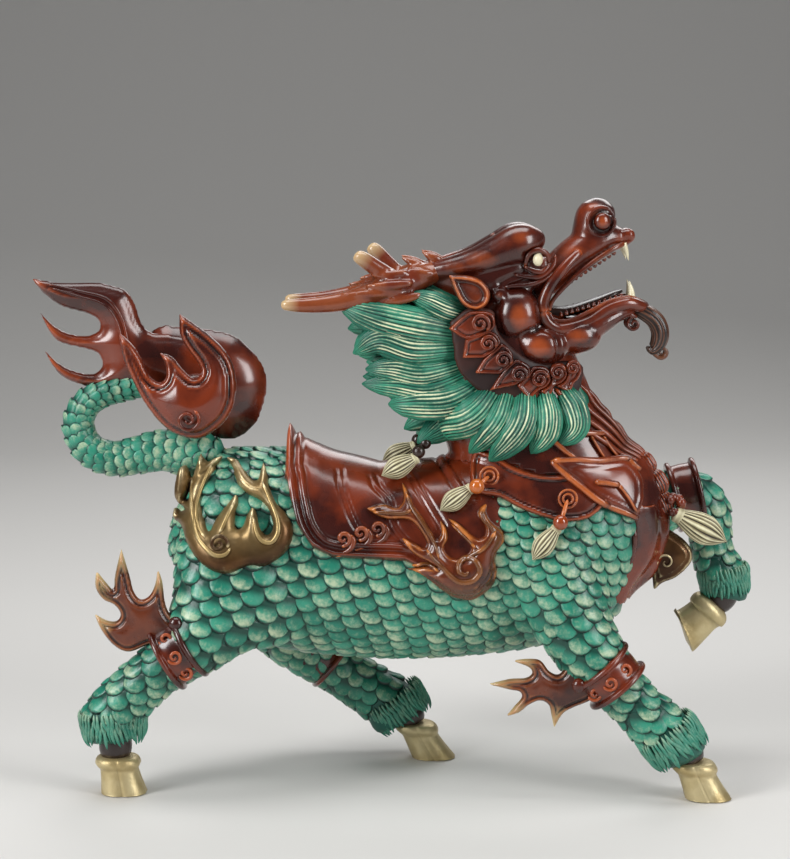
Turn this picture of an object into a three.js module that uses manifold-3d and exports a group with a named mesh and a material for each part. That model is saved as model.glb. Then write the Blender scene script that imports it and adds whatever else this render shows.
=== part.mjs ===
// A prancing qilin, one painted casting that stands on three hooves with its far foreleg raised.
// Millimetres, +Z up, +X toward the head, -Y the near side. The origin is on the ground, below the
// middle of the figure's box.
import * as THREE from "three";
import { mergeVertices } from "three/addons/utils/BufferGeometryUtils.js";
import Module from "manifold-3d";

// Driving dimensions
const HEIGHT = 263; // ground to the top of the nose
const PART_COUNT = 263; // parts in the height: pose and proportions are drawn on this grid
const PART = HEIGHT / PART_COUNT;
const CENTRE_X = 1.9; // from the drawing's middle to the middle of the finished box
const HOOF_HEIGHT = 17; // sole to coronet
const HOOF_LENGTH = 20; // toe to heel, at the sole
const HOOF_WIDTH = 18; // side to side, at the sole
const PASTERN_LENGTH = 12; // coronet to where the fetlock hair hides it
const CUFF_RISE = 2.2; // rims of the leg cuffs above the leg
const CUFF_HEIGHT = 11; // along the leg
const SADDLE_RISE = 3; // saddle above the back
const SADDLE_ROOT = 6; // how deep the saddle is let into the back
const CANTLE_RISE = 13; // rear edge of the saddle above the back, on the middle line
const CANTLE_RUN = 30; // length over which the cantle rises
const RIM_RISE = 1.5; // border of the saddle above its middle
const BAND_WIDTH = 21; // breast band
const BAND_RISE = 5; // breast band above the hide
const GIRTH_RISE = 6; // strap ahead of the saddle, above the hide
const CHEST_RISE = 7; // breast plate above the hide
const BORDER_RISE = 8; // raised border of the breast plate, above the hide
const SCROLL_RISE = 4; // thigh and shoulder scrollwork above the hide
const PLATE_ROUND = 1.4; // rounding of the flame edges
const TAIL_FLAME_THICK = 10;
const CUFF_FLAME_THICK = 6;
const TASSEL_RADIUS = 4.6;
const BEAD_RADIUS = 3.6;
const RING_RADIUS = 3.7; // ring mounts on the breast band
const RING_RISE = 2; // ring mounts above the band
const LOCK_THICK = 10; // locks of the mane
const CURL_RADIUS = 5; // spiral curls of the collar under the jaw
const FLUTE = 0.26; // share by which every second edge of a lock or tassel is drawn in
const MERGE = 1e-4; // vertices closer than this are one

const SIDEWAYS = new THREE.Vector3(0, 1, 0);
const UP = new THREE.Vector3(0, 0, 1);
const NEAR = -1;
const FAR = 1;
const SIDES = [NEAR, FAR];

const wasm = await Module();
wasm.setup();

/** Joins closed geometries into one solid. */
function fused(geometries) {
  const solids = geometries.map((geometry) => {
    geometry.deleteAttribute("normal");
    geometry.deleteAttribute("uv");
    const merged = mergeVertices(geometry, MERGE);
    const corners = merged.index.array;
    const kept = [];
    for (let i = 0; i < corners.length; i += 3) {
      const [a, b, c] = corners.slice(i, i + 3);
      if (a !== b && b !== c && c !== a) kept.push(a, b, c);
    }
    return new wasm.Manifold(
      new wasm.Mesh({
        numProp: 3,
        vertProperties: merged.attributes.position.array,
        triVerts: new Uint32Array(kept),
      }),
    );
  });
  return wasm.Manifold.union(solids);
}

/** Moves every vertex of a geometry to where the function puts it. */
function reshaped(geometry, place) {
  const positions = geometry.getAttribute("position");
  const vertex = new THREE.Vector3();
  for (let i = 0; i < positions.count; i += 1) {
    vertex.fromBufferAttribute(positions, i);
    const moved = place(vertex);
    positions.setXYZ(i, moved.x, moved.y, moved.z);
  }
  return geometry;
}

/** A point given in parts, in millimetres. */
function at(x, y, z) {
  return new THREE.Vector3(x * PART - CENTRE_X, y * PART, z * PART);
}

/**
 * A closed oval body along stations [x, y, z, across, deep], in parts. The across half-size lies
 * sideways and the deep one square to it. It ends in points, or in flat faces where cut is set. Level
 * rings stay horizontal. Every second edge is drawn in by the share given as flute.
 */
function sweep(stations, { sides = 8, cut = false, level = false, flute = 0 } = {}) {
  const rings = stations.length - 1;
  const centres = new THREE.CatmullRomCurve3(stations.map(([x, y, z]) => at(x, y, z)));
  const sizes = new THREE.CatmullRomCurve3(
    stations.map(([, , , across = 0, deep = 0]) => new THREE.Vector3(across, deep, 0)),
  );
  const blank = cut
    ? new THREE.CylinderGeometry(1, 1, 1, sides, rings)
    : new THREE.SphereGeometry(1, sides, rings);
  return reshaped(blank, (vertex) => {
    const height = THREE.MathUtils.clamp(vertex.y, -1, 1);
    const share = cut ? height + 0.5 : 1 - Math.acos(height) / Math.PI;
    const run = Math.round(share * rings) / rings;
    const reach = Math.hypot(vertex.x, vertex.z);
    const open = reach > MERGE ? 1 / reach : 0;
    const edge = Math.round((Math.atan2(vertex.z, vertex.x) / (2 * Math.PI)) * sides);
    const drawn = open * (edge % 2 === 0 ? 1 : 1 - flute) * PART;
    const size = sizes.getPoint(run);
    const along = level ? UP : centres.getTangent(run);
    const across = SIDEWAYS.clone().addScaledVector(along, -SIDEWAYS.dot(along)).normalize();
    const deep = new THREE.Vector3().crossVectors(across, along);
    return centres
      .getPoint(run)
      .addScaledVector(across, vertex.x * drawn * Math.max(size.x, 0))
      .addScaledVector(deep, vertex.z * drawn * Math.max(size.y, 0));
  });
}

/** An oval ball, half-sizes in parts. */
function ball(x, y, z, halfX, halfY, halfZ, sides = 6, rows = 4) {
  const centre = at(x, y, z);
  return new THREE.SphereGeometry(PART, sides, rows)
    .rotateX(Math.PI / 2)
    .scale(halfX, halfY, halfZ)
    .translate(centre.x, centre.y, centre.z);
}

/** A plate with sharp rims that stands in the XZ plane: an outline in parts, about a middle y. */
function plate(outline, y, thick) {
  const corners = outline.map(([x, z]) => new THREE.Vector2(x * PART - CENTRE_X, z * PART));
  return new THREE.ExtrudeGeometry(new THREE.Shape(corners), {
    depth: 0,
    bevelEnabled: true,
    bevelSegments: 1,
    bevelThickness: thick / 2,
    bevelSize: PLATE_ROUND,
    bevelOffset: -PLATE_ROUND,
    curveSegments: 1,
  })
    .rotateX(Math.PI / 2)
    .translate(0, y * PART, 0);
}

/** The values of a list of [x, ...values] rows at a length x, straight between its rows. */
function between(rows, x) {
  const found = rows.findIndex(([start]) => start > x) - 1;
  const index = THREE.MathUtils.clamp(found, 0, rows.length - 2);
  const [from, to] = [rows[index], rows[index + 1]];
  const share = THREE.MathUtils.clamp((x - from[0]) / (to[0] - from[0]), 0, 1);
  return from.slice(1).map((value, i) => THREE.MathUtils.lerp(value, to[i + 1], share));
}

/** The same list of pieces for the near and the far side. */
function bothSides(make) {
  return SIDES.flatMap((side) => make(side));
}

// Trunk: [x, middle z, half-width, half-height] of its cross-sections, in parts
const TRUNK = [
  [-99, 120, 0, 0],
  [-94, 118.6, 17, 20.5],
  [-81, 116.4, 29, 35.5],
  [-60.5, 109.5, 34, 43],
  [-33.6, 103.6, 34, 44.5],
  [-6.7, 98.6, 33.5, 41.4],
  [20, 100.4, 34, 43],
  [47, 106.4, 35, 46.4],
  [74, 112.7, 34, 44.5],
  [96.4, 118.6, 28, 38.6],
  [114, 118.6, 17, 25],
  [122, 118.6, 0, 0],
];

const FLANK_SHARE = 0.9; // of the half-height: above it the flank has turned into the back

/** The trunk's section at a length x: its middle height, half-width and half-height, in parts. */
function section(x) {
  return between(TRUNK, x);
}

/** How far the flank stands out from the middle plane at x and z, in parts. */
function flank(x, z) {
  const [middle, halfWidth, halfHeight] = section(x);
  const share = THREE.MathUtils.clamp((z - middle) / halfHeight, -FLANK_SHARE, FLANK_SHARE);
  return halfWidth * Math.sqrt(1 - share * share);
}

function trunk() {
  const stations = TRUNK.map(([x, z, halfWidth, halfHeight]) => [x, 0, z, halfWidth, halfHeight]);
  return [sweep(stations, { sides: 12 })];
}

function neck() {
  const stations = [
    [66, 0, 112, 10, 20],
    [68, 0, 135, 27, 38],
    [58, 0, 158, 24, 34],
    [50, 0, 182, 21, 32],
    [47, 0, 203, 19, 27],
    [46, 0, 218, 12, 16],
    [46, 0, 224, 0, 0],
  ];
  return [sweep(stations, { sides: 9 })];
}

// Legs: centre line from the hip or shoulder to the fetlock, [x, y off the middle, z, across, deep]
const NEAR_HIND = [
  [-50, 10, 114, 0, 0],
  [-60, 18, 102, 17, 30],
  [-71, 23, 90, 17, 32],
  [-80, 28, 79.5, 16, 21],
  [-88, 31, 70, 14, 15],
  [-103, 30.5, 58, 10.5, 11],
  [-118, 27.5, 44, 10.5, 11.5],
  [-125, 25.5, 32.5, 12.5, 14],
  [-124, 25, 25, 8, 8],
  [-124, 25, 23, 0, 0],
];
const FAR_HIND = [
  [-60, 10, 108, 0, 0],
  [-59, 19, 92, 17, 28],
  [-53, 25, 74, 16, 22],
  [-43, 30, 58, 13, 16],
  [-24, 33.5, 41.5, 10.5, 11.5],
  [-5, 34, 28, 10.5, 12.5],
  [1, 34, 21.5, 12.5, 14],
  [4, 34, 18, 8, 8],
  [5, 34, 16, 0, 0],
];
const NEAR_FORE = [
  [64, 12, 122, 0, 0],
  [67, 18, 108, 20, 25],
  [73, 24, 91, 18, 21],
  [80, 29, 75, 15.5, 16],
  [88, 32, 62, 12.5, 13.5],
  [104, 34, 44, 10, 10.5],
  [119, 34, 29, 11.5, 12.5],
  [124.5, 34, 21, 12.5, 13.5],
  [126, 34, 17, 8, 8],
  [127, 34, 15, 0, 0],
];
const FAR_FORE = [
  [92, 12, 112, 0, 0],
  [103, 22, 114, 16, 19],
  [119, 29, 120, 12.5, 14],
  [133, 33, 125, 10, 12],
  [143, 34, 120, 10, 11.5],
  [146.5, 34, 110, 9.5, 9.5],
  [147.5, 34, 99, 9, 9],
  [152, 34, 88, 10.5, 10.5],
  [154.5, 34, 80, 10.5, 11],
  [154, 34, 77, 7, 7],
  [154, 34, 76, 0, 0],
];

/** A leg's stations moved to its side. */
function onSide(stations, side) {
  return stations.map(([x, y, ...rest]) => [x, side * y, ...rest]);
}

function legs() {
  const near = [NEAR_HIND, NEAR_FORE].map((stations) => sweep(onSide(stations, NEAR)));
  const far = [FAR_HIND, FAR_FORE].map((stations) => sweep(onSide(stations, FAR)));
  return [...near, ...far];
}

// Standing hooves: how far the coronet is ahead of the fetlock, and the sole ahead of the coronet, in parts
const NEAR_HIND_HOOF = { coronet: 0.5, sole: 3 };
const FAR_HIND_HOOF = { coronet: 4, sole: 9.5 };
const NEAR_FORE_HOOF = { coronet: 4, sole: 7.5 };

/** A leg's standing hoof, its sole flat on the ground, and the pastern that leans to the fetlock. */
function hoof(leg, { coronet: ahead, sole: lean }, side) {
  const [length, width] = [HOOF_LENGTH / PART / 2, HOOF_WIDTH / PART / 2];
  const height = HOOF_HEIGHT / PART;
  const [fetlock, out] = leg[leg.length - 1];
  const [coronet, y] = [fetlock + ahead, side * out];
  const stations = [
    [coronet + lean, y, 0, width, length],
    [coronet + lean * 0.1, y, height * 0.86, width * 1.04, length * 1.04],
    [coronet, y, height, width * 0.9, length * 0.9],
    [coronet - lean * 0.3, y, height + PASTERN_LENGTH / PART, width * 0.72, length * 0.72],
  ];
  return sweep(stations, { sides: 7, cut: true, level: true });
}

/** The raised hoof, folded back so that its sole faces the tail. */
function raisedHoof() {
  const [length, width] = [HOOF_LENGTH / PART / 2, HOOF_WIDTH / PART / 2];
  const y = FAR * FAR_FORE[FAR_FORE.length - 1][1];
  const stations = [
    [155, y, 86, width * 0.6, length * 0.6],
    [152.5, y, 76.5, width * 0.75, length * 0.75],
    [149, y, 71, width * 0.95, length * 0.85],
    [144, y, 65.8, width, length * 0.92],
    [139.6, y, 62.4, width, length * 0.97],
    [135.4, y, 60.8, width, length],
  ];
  return sweep(stations, { sides: 7, cut: true });
}

function hooves() {
  return [
    hoof(NEAR_HIND, NEAR_HIND_HOOF, NEAR),
    hoof(FAR_HIND, FAR_HIND_HOOF, FAR),
    hoof(NEAR_FORE, NEAR_FORE_HOOF, NEAR),
    raisedHoof(),
  ];
}

// A cuff's profile along the leg: shares of its half-height, and of its rise
const CUFF_PROFILE = [
  [-1, 0],
  [-0.8, 1],
  [0, 0.5],
  [0.8, 1],
  [1, 0],
];

/** A cuff around a leg: two rims and a hollowed band between them, centred on [x, y, z]. */
function cuff([x, y, z], [runX, runZ], across, deep) {
  const half = CUFF_HEIGHT / PART / 2;
  const rise = CUFF_RISE / PART;
  const stations = CUFF_PROFILE.map(([share, lift]) => [
    x + runX * half * share,
    y,
    z + runZ * half * share,
    across + rise * lift,
    deep + rise * lift,
  ]);
  return sweep(stations, { cut: true });
}

// Flames behind the cuffs, drawn for the hock and the knee, in parts
const HOCK_FLAME = [
  [-130.1, 102.2],
  [-122.6, 91.8],
  [-119.3, 111.9],
  [-112.5, 89.3],
  [-103.3, 103.1],
  [-101.1, 89.3],
  [-96, 80],
  [-98, 72],
  [-116.3, 66.2],
  [-122.8, 68.9],
  [-131.3, 83.1],
  [-120.6, 79.2],
  [-121.6, 85.8],
  [-129, 91],
];
const KNEE_FLAME = [
  [63.4, 64],
  [69.2, 54.6],
  [84, 58],
  [90, 48],
  [71.5, 39.3],
  [69.8, 32.6],
  [65, 44],
  [57.5, 41.5],
  [48.7, 38],
  [57.4, 48.9],
  [40.7, 51.9],
  [61, 54.5],
  [59.1, 59.5],
];

/** An outline moved and turned in the XZ plane, about a pivot that goes to a new place. */
function placed(outline, pivot, place, turn) {
  const pivotPoint = new THREE.Vector2(...pivot);
  return outline.map(([x, z]) => {
    const point = new THREE.Vector2(x, z).rotateAround(pivotPoint, THREE.MathUtils.degToRad(turn));
    return [point.x + place[0] - pivot[0], point.y + place[1] - pivot[1]];
  });
}

function cuffs() {
  const hock = [-95, NEAR * 32.5, 65.5];
  const knee = [94, NEAR * 33, 55];
  const farHock = [-33.5, FAR * 32.5, 50];
  const farKnee = [135, FAR * 33, 125];
  const hockFlame = placed(HOCK_FLAME, [-98, 74], [-45, 62], -12);
  return [
    cuff(hock, [-0.86, -0.51], 13, 13.2),
    cuff(knee, [0.65, -0.76], 12.5, 13),
    cuff(farHock, [0.78, -0.62], 12, 12.5),
    cuff(farKnee, [0.93, 0.2], 11, 12),
    plate(HOCK_FLAME, NEAR * 33, CUFF_FLAME_THICK),
    plate(KNEE_FLAME, NEAR * 34, CUFF_FLAME_THICK),
    plate(hockFlame, FAR * 33, CUFF_FLAME_THICK),
  ];
}

// Tail and its flames
const TAIL = [
  [-74, 0, 140, 0, 0],
  [-85, 0, 147, 10, 10],
  [-103, 0, 150.5, 8.6, 8.6],
  [-116, 0, 148, 7.6, 7.6],
  [-127, 0, 146.5, 7, 7],
  [-137.5, 0, 151, 6.6, 6.6],
  [-142, 0, 161.5, 6.3, 6.3],
  [-138.5, 0, 171, 5.8, 5.8],
  [-130, 0, 176.3, 5.4, 5.4],
  [-118, 0, 179, 5, 5],
  [-108, 0, 181, 4, 4],
  [-104, 0, 181, 0, 0],
];
const NEAR_TAIL_FLAME = [
  [-121.5, 204.7],
  [-115.8, 184.3],
  [-110.2, 173.7],
  [-102.9, 164.4],
  [-95.9, 159.5],
  [-87.5, 157.6],
  [-80.4, 160.7],
  [-73.7, 167],
  [-70.1, 175.5],
  [-70, 186.1],
  [-73.4, 195],
  [-81.3, 203.3],
  [-94.8, 213],
  [-94, 203.8],
  [-90.6, 196.7],
  [-85.8, 190.5],
  [-85.5, 186],
  [-90.7, 184.8],
  [-94.2, 189.7],
  [-103.8, 195.8],
  [-100.3, 190.4],
  [-100.6, 184],
  [-104.4, 183],
  [-108.8, 187],
  [-111.7, 193.7],
];
const FAR_TAIL_FLAME = [
  [-161.6, 227.6],
  [-126.6, 224.4],
  [-119.6, 221.8],
  [-115.7, 215.5],
  [-113, 207.5],
  [-102, 205.7],
  [-83.6, 202.8],
  [-71.4, 201],
  [-62, 192.4],
  [-57.5, 181.5],
  [-59.4, 169.2],
  [-64.5, 158.6],
  [-80, 154.5],
  [-98, 165],
  [-112, 174],
  [-134.5, 178.4],
  [-152.2, 187.6],
  [-156.6, 195.8],
  [-141.6, 185.7],
  [-133.1, 184.7],
  [-130.6, 190.5],
  [-134.2, 195.5],
  [-148.4, 198.6],
  [-158, 212.2],
  [-144.8, 202.6],
  [-135.5, 202.2],
  [-131, 205.5],
  [-135.3, 210.6],
  [-148.1, 215],
];

function tail() {
  return [
    sweep(TAIL, { sides: 7 }),
    plate(NEAR_TAIL_FLAME, NEAR * 14, TAIL_FLAME_THICK),
    plate(FAR_TAIL_FLAME, 0, TAIL_FLAME_THICK),
    ball(-88, NEAR * 12, 174, 15, 10, 13),
    ball(-76, FAR * 2, 180, 17, 10, 20),
  ];
}

// Saddle: lower edge of the flap as [x, z] from the cantle to the front strap, in parts
const FLAP_EDGE = [
  [-47.5, 140],
  [-45.8, 131.6],
  [-42.4, 120.1],
  [-35.9, 111.3],
  [-27.1, 107.3],
  [-13.6, 106.4],
  [4.4, 107.3],
  [19.7, 121.5],
  [30.9, 138.2],
];

// Rows and columns of the saddle, as shares of the way round to the flap's edge and from rear to front
const SADDLE_ROWS = [-1, -0.94, -0.86, -0.4, 0.4, 0.86, 0.94, 1];
const SADDLE_COLUMNS = [0, 0.06, 0.12, 0.4, 0.7, 1];

/** A blanket over the back, with a raised border, whose rear edge stands up as a cantle. */
function saddle() {
  const [rear, front] = [FLAP_EDGE[0][0], FLAP_EDGE[FLAP_EDGE.length - 1][0]];
  const [columns, rows] = [SADDLE_COLUMNS.length - 1, SADDLE_ROWS.length - 1];
  const cantleRun = CANTLE_RUN / PART;
  const blank = new THREE.BoxGeometry(1, 1, 1, columns, rows, 1);
  const blanket = reshaped(blank, (vertex) => {
    const [column, row] = [Math.round((vertex.x + 0.5) * columns), Math.round((vertex.y + 0.5) * rows)];
    const x = THREE.MathUtils.lerp(rear, front, SADDLE_COLUMNS[column]);
    const [middle, halfWidth, halfHeight] = section(x);
    const [flapEdge] = between(FLAP_EDGE, x);
    const edge = Math.acos(THREE.MathUtils.clamp((flapEdge - middle) / halfHeight, -1, 1));
    const angle = SADDLE_ROWS[row] * edge;
    const onRim = column < 2 || row < 2 || row > rows - 2;
    const outer = vertex.z > 0;
    const lift = (outer ? SADDLE_RISE + (onRim ? RIM_RISE : 0) : -SADDLE_ROOT) / PART;
    const stand = Math.max(0, (rear + cantleRun - x) / cantleRun) ** 2;
    const cantle = outer ? (CANTLE_RISE / PART) * stand * Math.cos(angle) ** 2 : 0;
    return at(
      x,
      (halfWidth + lift) * Math.sin(angle),
      middle + (halfHeight + lift + cantle) * Math.cos(angle),
    );
  });
  return [blanket];
}

/** A raised band or scroll on the flank through [x, z, half-width], standing out by a rise. */
function relief(side, points, rise, sides = 4) {
  const lift = rise / PART;
  const stations = points.map(([x, z, half]) => [x, side * flank(x, z), z, half > 0 ? lift : 0, half]);
  return sweep(stations, { sides });
}

// Ring mounts on the breast band, as [x, z]
const RINGS = [
  [41, 143],
  [75, 134],
];

function harness() {
  const half = BAND_WIDTH / PART / 2;
  const band = [
    [24, 150, 0],
    [31, 146, half],
    [47, 139.5, half],
    [61, 135.5, half],
    [75, 134, half],
    [90, 138, half],
    [100, 141, 0],
  ];
  const chest = [
    [68, 152, 0],
    [74, 147, 5],
    [88, 140, 9],
    [102, 134, 9],
    [112, 126, 0],
  ];
  const girth = [
    [6, 158, 0],
    [12, 152, 5],
    [22, 145, 5.5],
    [31, 136, 5.5],
    [39, 126, 0],
  ];
  const [ringRadius, ringRise] = [RING_RADIUS / PART, RING_RISE / PART];
  const ring = ([x, z], side) => {
    const y = side * (flank(x, z) + BAND_RISE / PART);
    return ball(x, y, z, ringRadius, ringRise, ringRadius, 6, 3);
  };
  return bothSides((side) => [
    ...RINGS.map((spot) => ring(spot, side)),
    relief(side, band, BAND_RISE, 6),
    relief(side, chest, CHEST_RISE),
    relief(side, girth, GIRTH_RISE),
  ]);
}

// Scrollwork on the thigh and behind the shoulder: runs of [x, z, half-width], in parts
const THIGH_SCROLL = [
  [
    [-93, 147, 0],
    [-93, 128, 4.5],
    [-84, 111, 6.5],
    [-67, 108, 6.5],
    [-51, 112.5, 6],
    [-49, 127, 4],
    [-59, 147, 0],
  ],
  [
    [-77, 149, 0],
    [-88.5, 137, 4],
    [-86, 120, 4],
    [-78, 112, 0],
  ],
  [
    [-73, 148, 0],
    [-63, 134, 4],
    [-56, 121, 4],
    [-60, 111, 0],
  ],
];
const SHOULDER_SCROLL = [
  [
    [2, 118, 0],
    [12, 103, 4.5],
    [31, 94, 5.5],
    [40, 103, 4],
    [43, 118, 4.5],
    [37, 131, 0],
  ],
  [
    [3, 139, 0],
    [7, 125, 4],
    [19, 109, 5],
    [34, 97, 0],
  ],
  [
    [-12.6, 128, 0],
    [2, 125, 3.5],
    [18, 108, 0],
  ],
];

function scrollwork() {
  return bothSides((side) =>
    [...THIGH_SCROLL, ...SHOULDER_SCROLL].map((run) => relief(side, run, SCROLL_RISE)),
  );
}

/** A fluted tassel from its knot to its tip, with a bead above it. */
function tassel(knot, tip, bead) {
  const radius = TASSEL_RADIUS / PART;
  const spot = (share) => knot.map((value, i) => THREE.MathUtils.lerp(value, tip[i], share));
  const stations = [
    [...spot(-0.05), 0, 0],
    [...spot(0.12), radius * 0.6, radius * 0.6],
    [...spot(0.6), radius, radius],
    [...spot(1), 0, 0],
  ];
  const size = BEAD_RADIUS / PART;
  return [sweep(stations, { sides: 6, flute: FLUTE }), ball(...bead, size, size, size, 5, 3)];
}

// Tassels on each flank: knot, tip and bead as [x, z] and how far off the flank, in parts
const FLANK_TASSELS = [
  { knot: [32, 137.5, 4], tip: [20.5, 129, 3], bead: [35, 138.5, 3] },
  { knot: [69, 121, 2], tip: [60, 108.5, 2], bead: [71.6, 124.2, 0.5] },
];
// Tassel beside the crest: knot, tip and bead as [x, y off the middle, z], in parts
const CREST_TASSEL = { knot: [8.5, 12, 143], tip: [-4, 12, 138.5], bead: [11, 12, 147.5] };

function pendants() {
  const sides = bothSides((side) => {
    const spot = ([x, z, out]) => [x, side * (flank(x, z) + out), z];
    const { knot: crestKnot, tip: crestTip, bead: crestBead } = CREST_TASSEL;
    const [high, low, round] = onSide([crestKnot, crestTip, crestBead], side);
    return [
      ...FLANK_TASSELS.flatMap(({ knot, tip, bead }) => tassel(spot(knot), spot(tip), spot(bead))),
      ...tassel(high, low, round),
    ];
  });
  const y = NEAR * 9; // the chest's tassel hangs beside the throat
  const knots = [
    [108, y, 143, 0, 0],
    [116.5, y, 137, 5, 5],
    [118, y, 132.5, 3, 3],
    [119.5, y, 128, 5.5, 5],
    [124, y, 122.5, 4, 4],
    [129, y, 120, 0, 0],
  ];
  const front = tassel([126, y, 121.5], [148, y, 111], [122.5, y, 125]);
  return [...sides, ...front, sweep(knots, { sides: 6 })];
}

/** The breast plate's raised border, the apron below it and the leaf in front of the chest. */
function breast() {
  const border = (side) =>
    [
      [
        [70, 158, 0],
        [77, 151, 1.8],
        [90, 150, 1.8],
        [101, 149, 0],
      ],
      [
        [67, 150, 0],
        [76, 144, 1.8],
        [90, 133, 1.8],
        [99, 125, 1.8],
        [106, 122, 0],
      ],
    ].map((run) => relief(side, run, BORDER_RISE));
  const apron = [
    [112, 0, 128, 0, 0],
    [113, 0, 116, 13, 6],
    [107, 0, 101, 12, 6],
    [99, 0, 88, 9, 5],
    [93, 0, 80, 0, 0],
  ];
  const leaf = [
    [110, 119],
    [123, 115],
    [133, 106],
    [132, 100.4],
    [125.5, 94],
    [117, 88.5],
    [114, 98],
  ];
  return [...bothSides(border), sweep(apron, { sides: 6 }), plate(leaf, NEAR * 4, CUFF_FLAME_THICK)];
}

// Mane locks on each side: root, bulge and tip as [x, z], and the lock's width, in parts
const LOCKS = [
  { root: [30, 212], bulge: [14, 216], tip: [5, 221.5], width: 9 },
  { root: [30, 203], bulge: [2, 208], tip: [-24, 216.5], width: 18 },
  { root: [32, 195], bulge: [6, 197], tip: [-17, 198], width: 14 },
  { root: [34, 187], bulge: [10, 188], tip: [-12, 185], width: 13 },
  { root: [40, 180], bulge: [18, 178], tip: [-1.3, 172.2], width: 14 },
  { root: [46, 172], bulge: [28, 167], tip: [11.4, 155.9], width: 15 },
  { root: [53, 171], bulge: [43, 162], tip: [33.3, 151.5], width: 11 },
  { root: [62, 172], bulge: [56, 161], tip: [50, 150.5], width: 13 },
  { root: [74, 172], bulge: [75, 164], tip: [68, 155], width: 13 },
];
// Locks down the middle of the nape, under the antlers
const NAPE_LOCKS = [
  { root: [31, 204], bulge: [3, 203], tip: [-19, 206], width: 20 },
  { root: [35, 182], bulge: [14, 181], tip: [-8, 178], width: 20 },
];

/** A lock from its root to its tip, as flat as the mane's locks are, that leaves the middle plane by
 *  the distances given for its root, bulge and tip. */
function lock({ root, bulge, tip, width }, rootY, bulgeY, tipY) {
  const half = LOCK_THICK / PART / 2;
  const stations = [
    [root[0] + 4, rootY, root[1] + 1, 0, 0],
    [root[0], rootY, root[1], half, width * 0.5],
    [bulge[0], bulgeY, bulge[1], half, width * 0.62],
    [tip[0], tipY, tip[1], 0, 0],
  ];
  return sweep(stations, { sides: 4 });
}

function mane() {
  return [
    ...bothSides((side) => LOCKS.map((shape) => lock(shape, side * 19, side * 24, side * 21))),
    ...NAPE_LOCKS.map((shape) => lock(shape, 0, 0, 0)),
  ];
}

// Curls of the collar from the ear round to the throat: [x, y off the middle, z], in parts
const CURLS = [
  [36, 20.5, 211],
  [41, 20.5, 201],
  [47, 20.5, 193],
  [54.5, 19.5, 186.5],
  [64, 17, 184.5],
  [73, 12.5, 186],
];
const CURL_MIDDLE = [60, 212]; // the curls stand in an arc about this [x, z]

/** Curls and pointed leaves under the jaw. */
function collar() {
  const middle = new THREE.Vector2(...CURL_MIDDLE);
  const radius = CURL_RADIUS / PART;
  return bothSides((side) =>
    CURLS.flatMap(([x, y, z]) => {
      const out = new THREE.Vector2(x, z).sub(middle).normalize();
      const leaf = [
        [x, side * y, z, 0, 0],
        [x + out.x * radius, side * y, z + out.y * radius, 2.5, 4],
        [x + out.x * radius * 2.4, side * (y + 1), z + out.y * radius * 2.4, 0, 0],
      ];
      return [ball(x, side * y, z, radius, 4, radius, 6, 3), sweep(leaf, { sides: 4 })];
    }),
  );
}

function head() {
  const upper = [
    [6, 0, 229, 0, 0],
    [16, 0, 228, 13, 8],
    [34, 0, 226.5, 18.5, 12],
    [57, 0, 231, 19.5, 16.5],
    [68, 0, 230, 15.5, 10.5],
    [76, 0, 234, 13.5, 10],
    [85, 0, 245, 12.5, 13],
    [94, 0, 251, 11, 11],
    [101, 0, 247.5, 9, 6.5],
    [104.5, 0, 245, 0, 0],
  ];
  const lower = [
    [42, 0, 206, 0, 0],
    [52, 0, 206, 19, 15],
    [66, 0, 205, 16, 12],
    [78, 0, 203, 14.5, 10],
    [87, 0, 208, 11, 6],
    [97, 0, 215, 9, 4],
    [106, 0, 216.5, 6, 3.2],
    [110, 0, 215.5, 0, 0],
  ];
  const features = bothSides((side) => [
    sweep(
      [
        [8, side * 12, 229, 0, 0],
        [32, side * 15, 235.5, 4.5, 4.5],
        [55, side * 15.5, 243.5, 5.5, 5],
        [68, side * 12, 240, 0, 0],
      ],
      { sides: 5 },
    ),
    ball(62, side * 17, 237, 4, 4, 4, 6, 3),
    ball(55, side * 15, 213, 9, 8, 9),
    ball(62, side * 14, 201, 7.5, 6, 7),
    ball(92.5, side * 8.5, 254, 5.5, 4.5, 5.5),
    sweep(
      [
        [22.5, side * 23, 231, 0, 0],
        [29, side * 22, 224.5, 3, 5],
        [36.5, side * 20, 221, 4, 7],
        [42, side * 17, 219, 0, 0],
      ],
      { sides: 5 },
    ),
    sweep(
      [
        [99, side * 5.5, 247, 0, 0],
        [101.5, side * 5.5, 243, 1.8, 1.8],
        [104, side * 5.5, 237, 0, 0],
      ],
      { sides: 4 },
    ),
    sweep(
      [
        [103.5, side * 5, 215, 0, 0],
        [104.5, side * 5, 219, 1.8, 1.8],
        [106, side * 5, 224, 0, 0],
      ],
      { sides: 4 },
    ),
  ]);
  const tongue = [
    [66, 0, 214, 0, 0],
    [76, 0, 214.5, 6, 2.5],
    [88, 0, 218.5, 6, 2.5],
    [97, 0, 221.5, 0, 0],
  ];
  const bones = [sweep(upper, { sides: 9 }), sweep(lower, { sides: 7 })];
  return [...bones, sweep(tongue, { sides: 4 }), ...features];
}

function beard() {
  const stations = [
    [104, 0, 214, 0, 0],
    [110, 0, 212, 5, 3.6],
    [117, 0, 205, 4.6, 3.4],
    [117.5, 0, 196, 4, 3],
    [112, 0, 194.5, 0, 0],
  ];
  return [sweep(stations, { sides: 6 }), ball(107, 0, 207, 3.4, 6, 3.4)];
}

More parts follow.
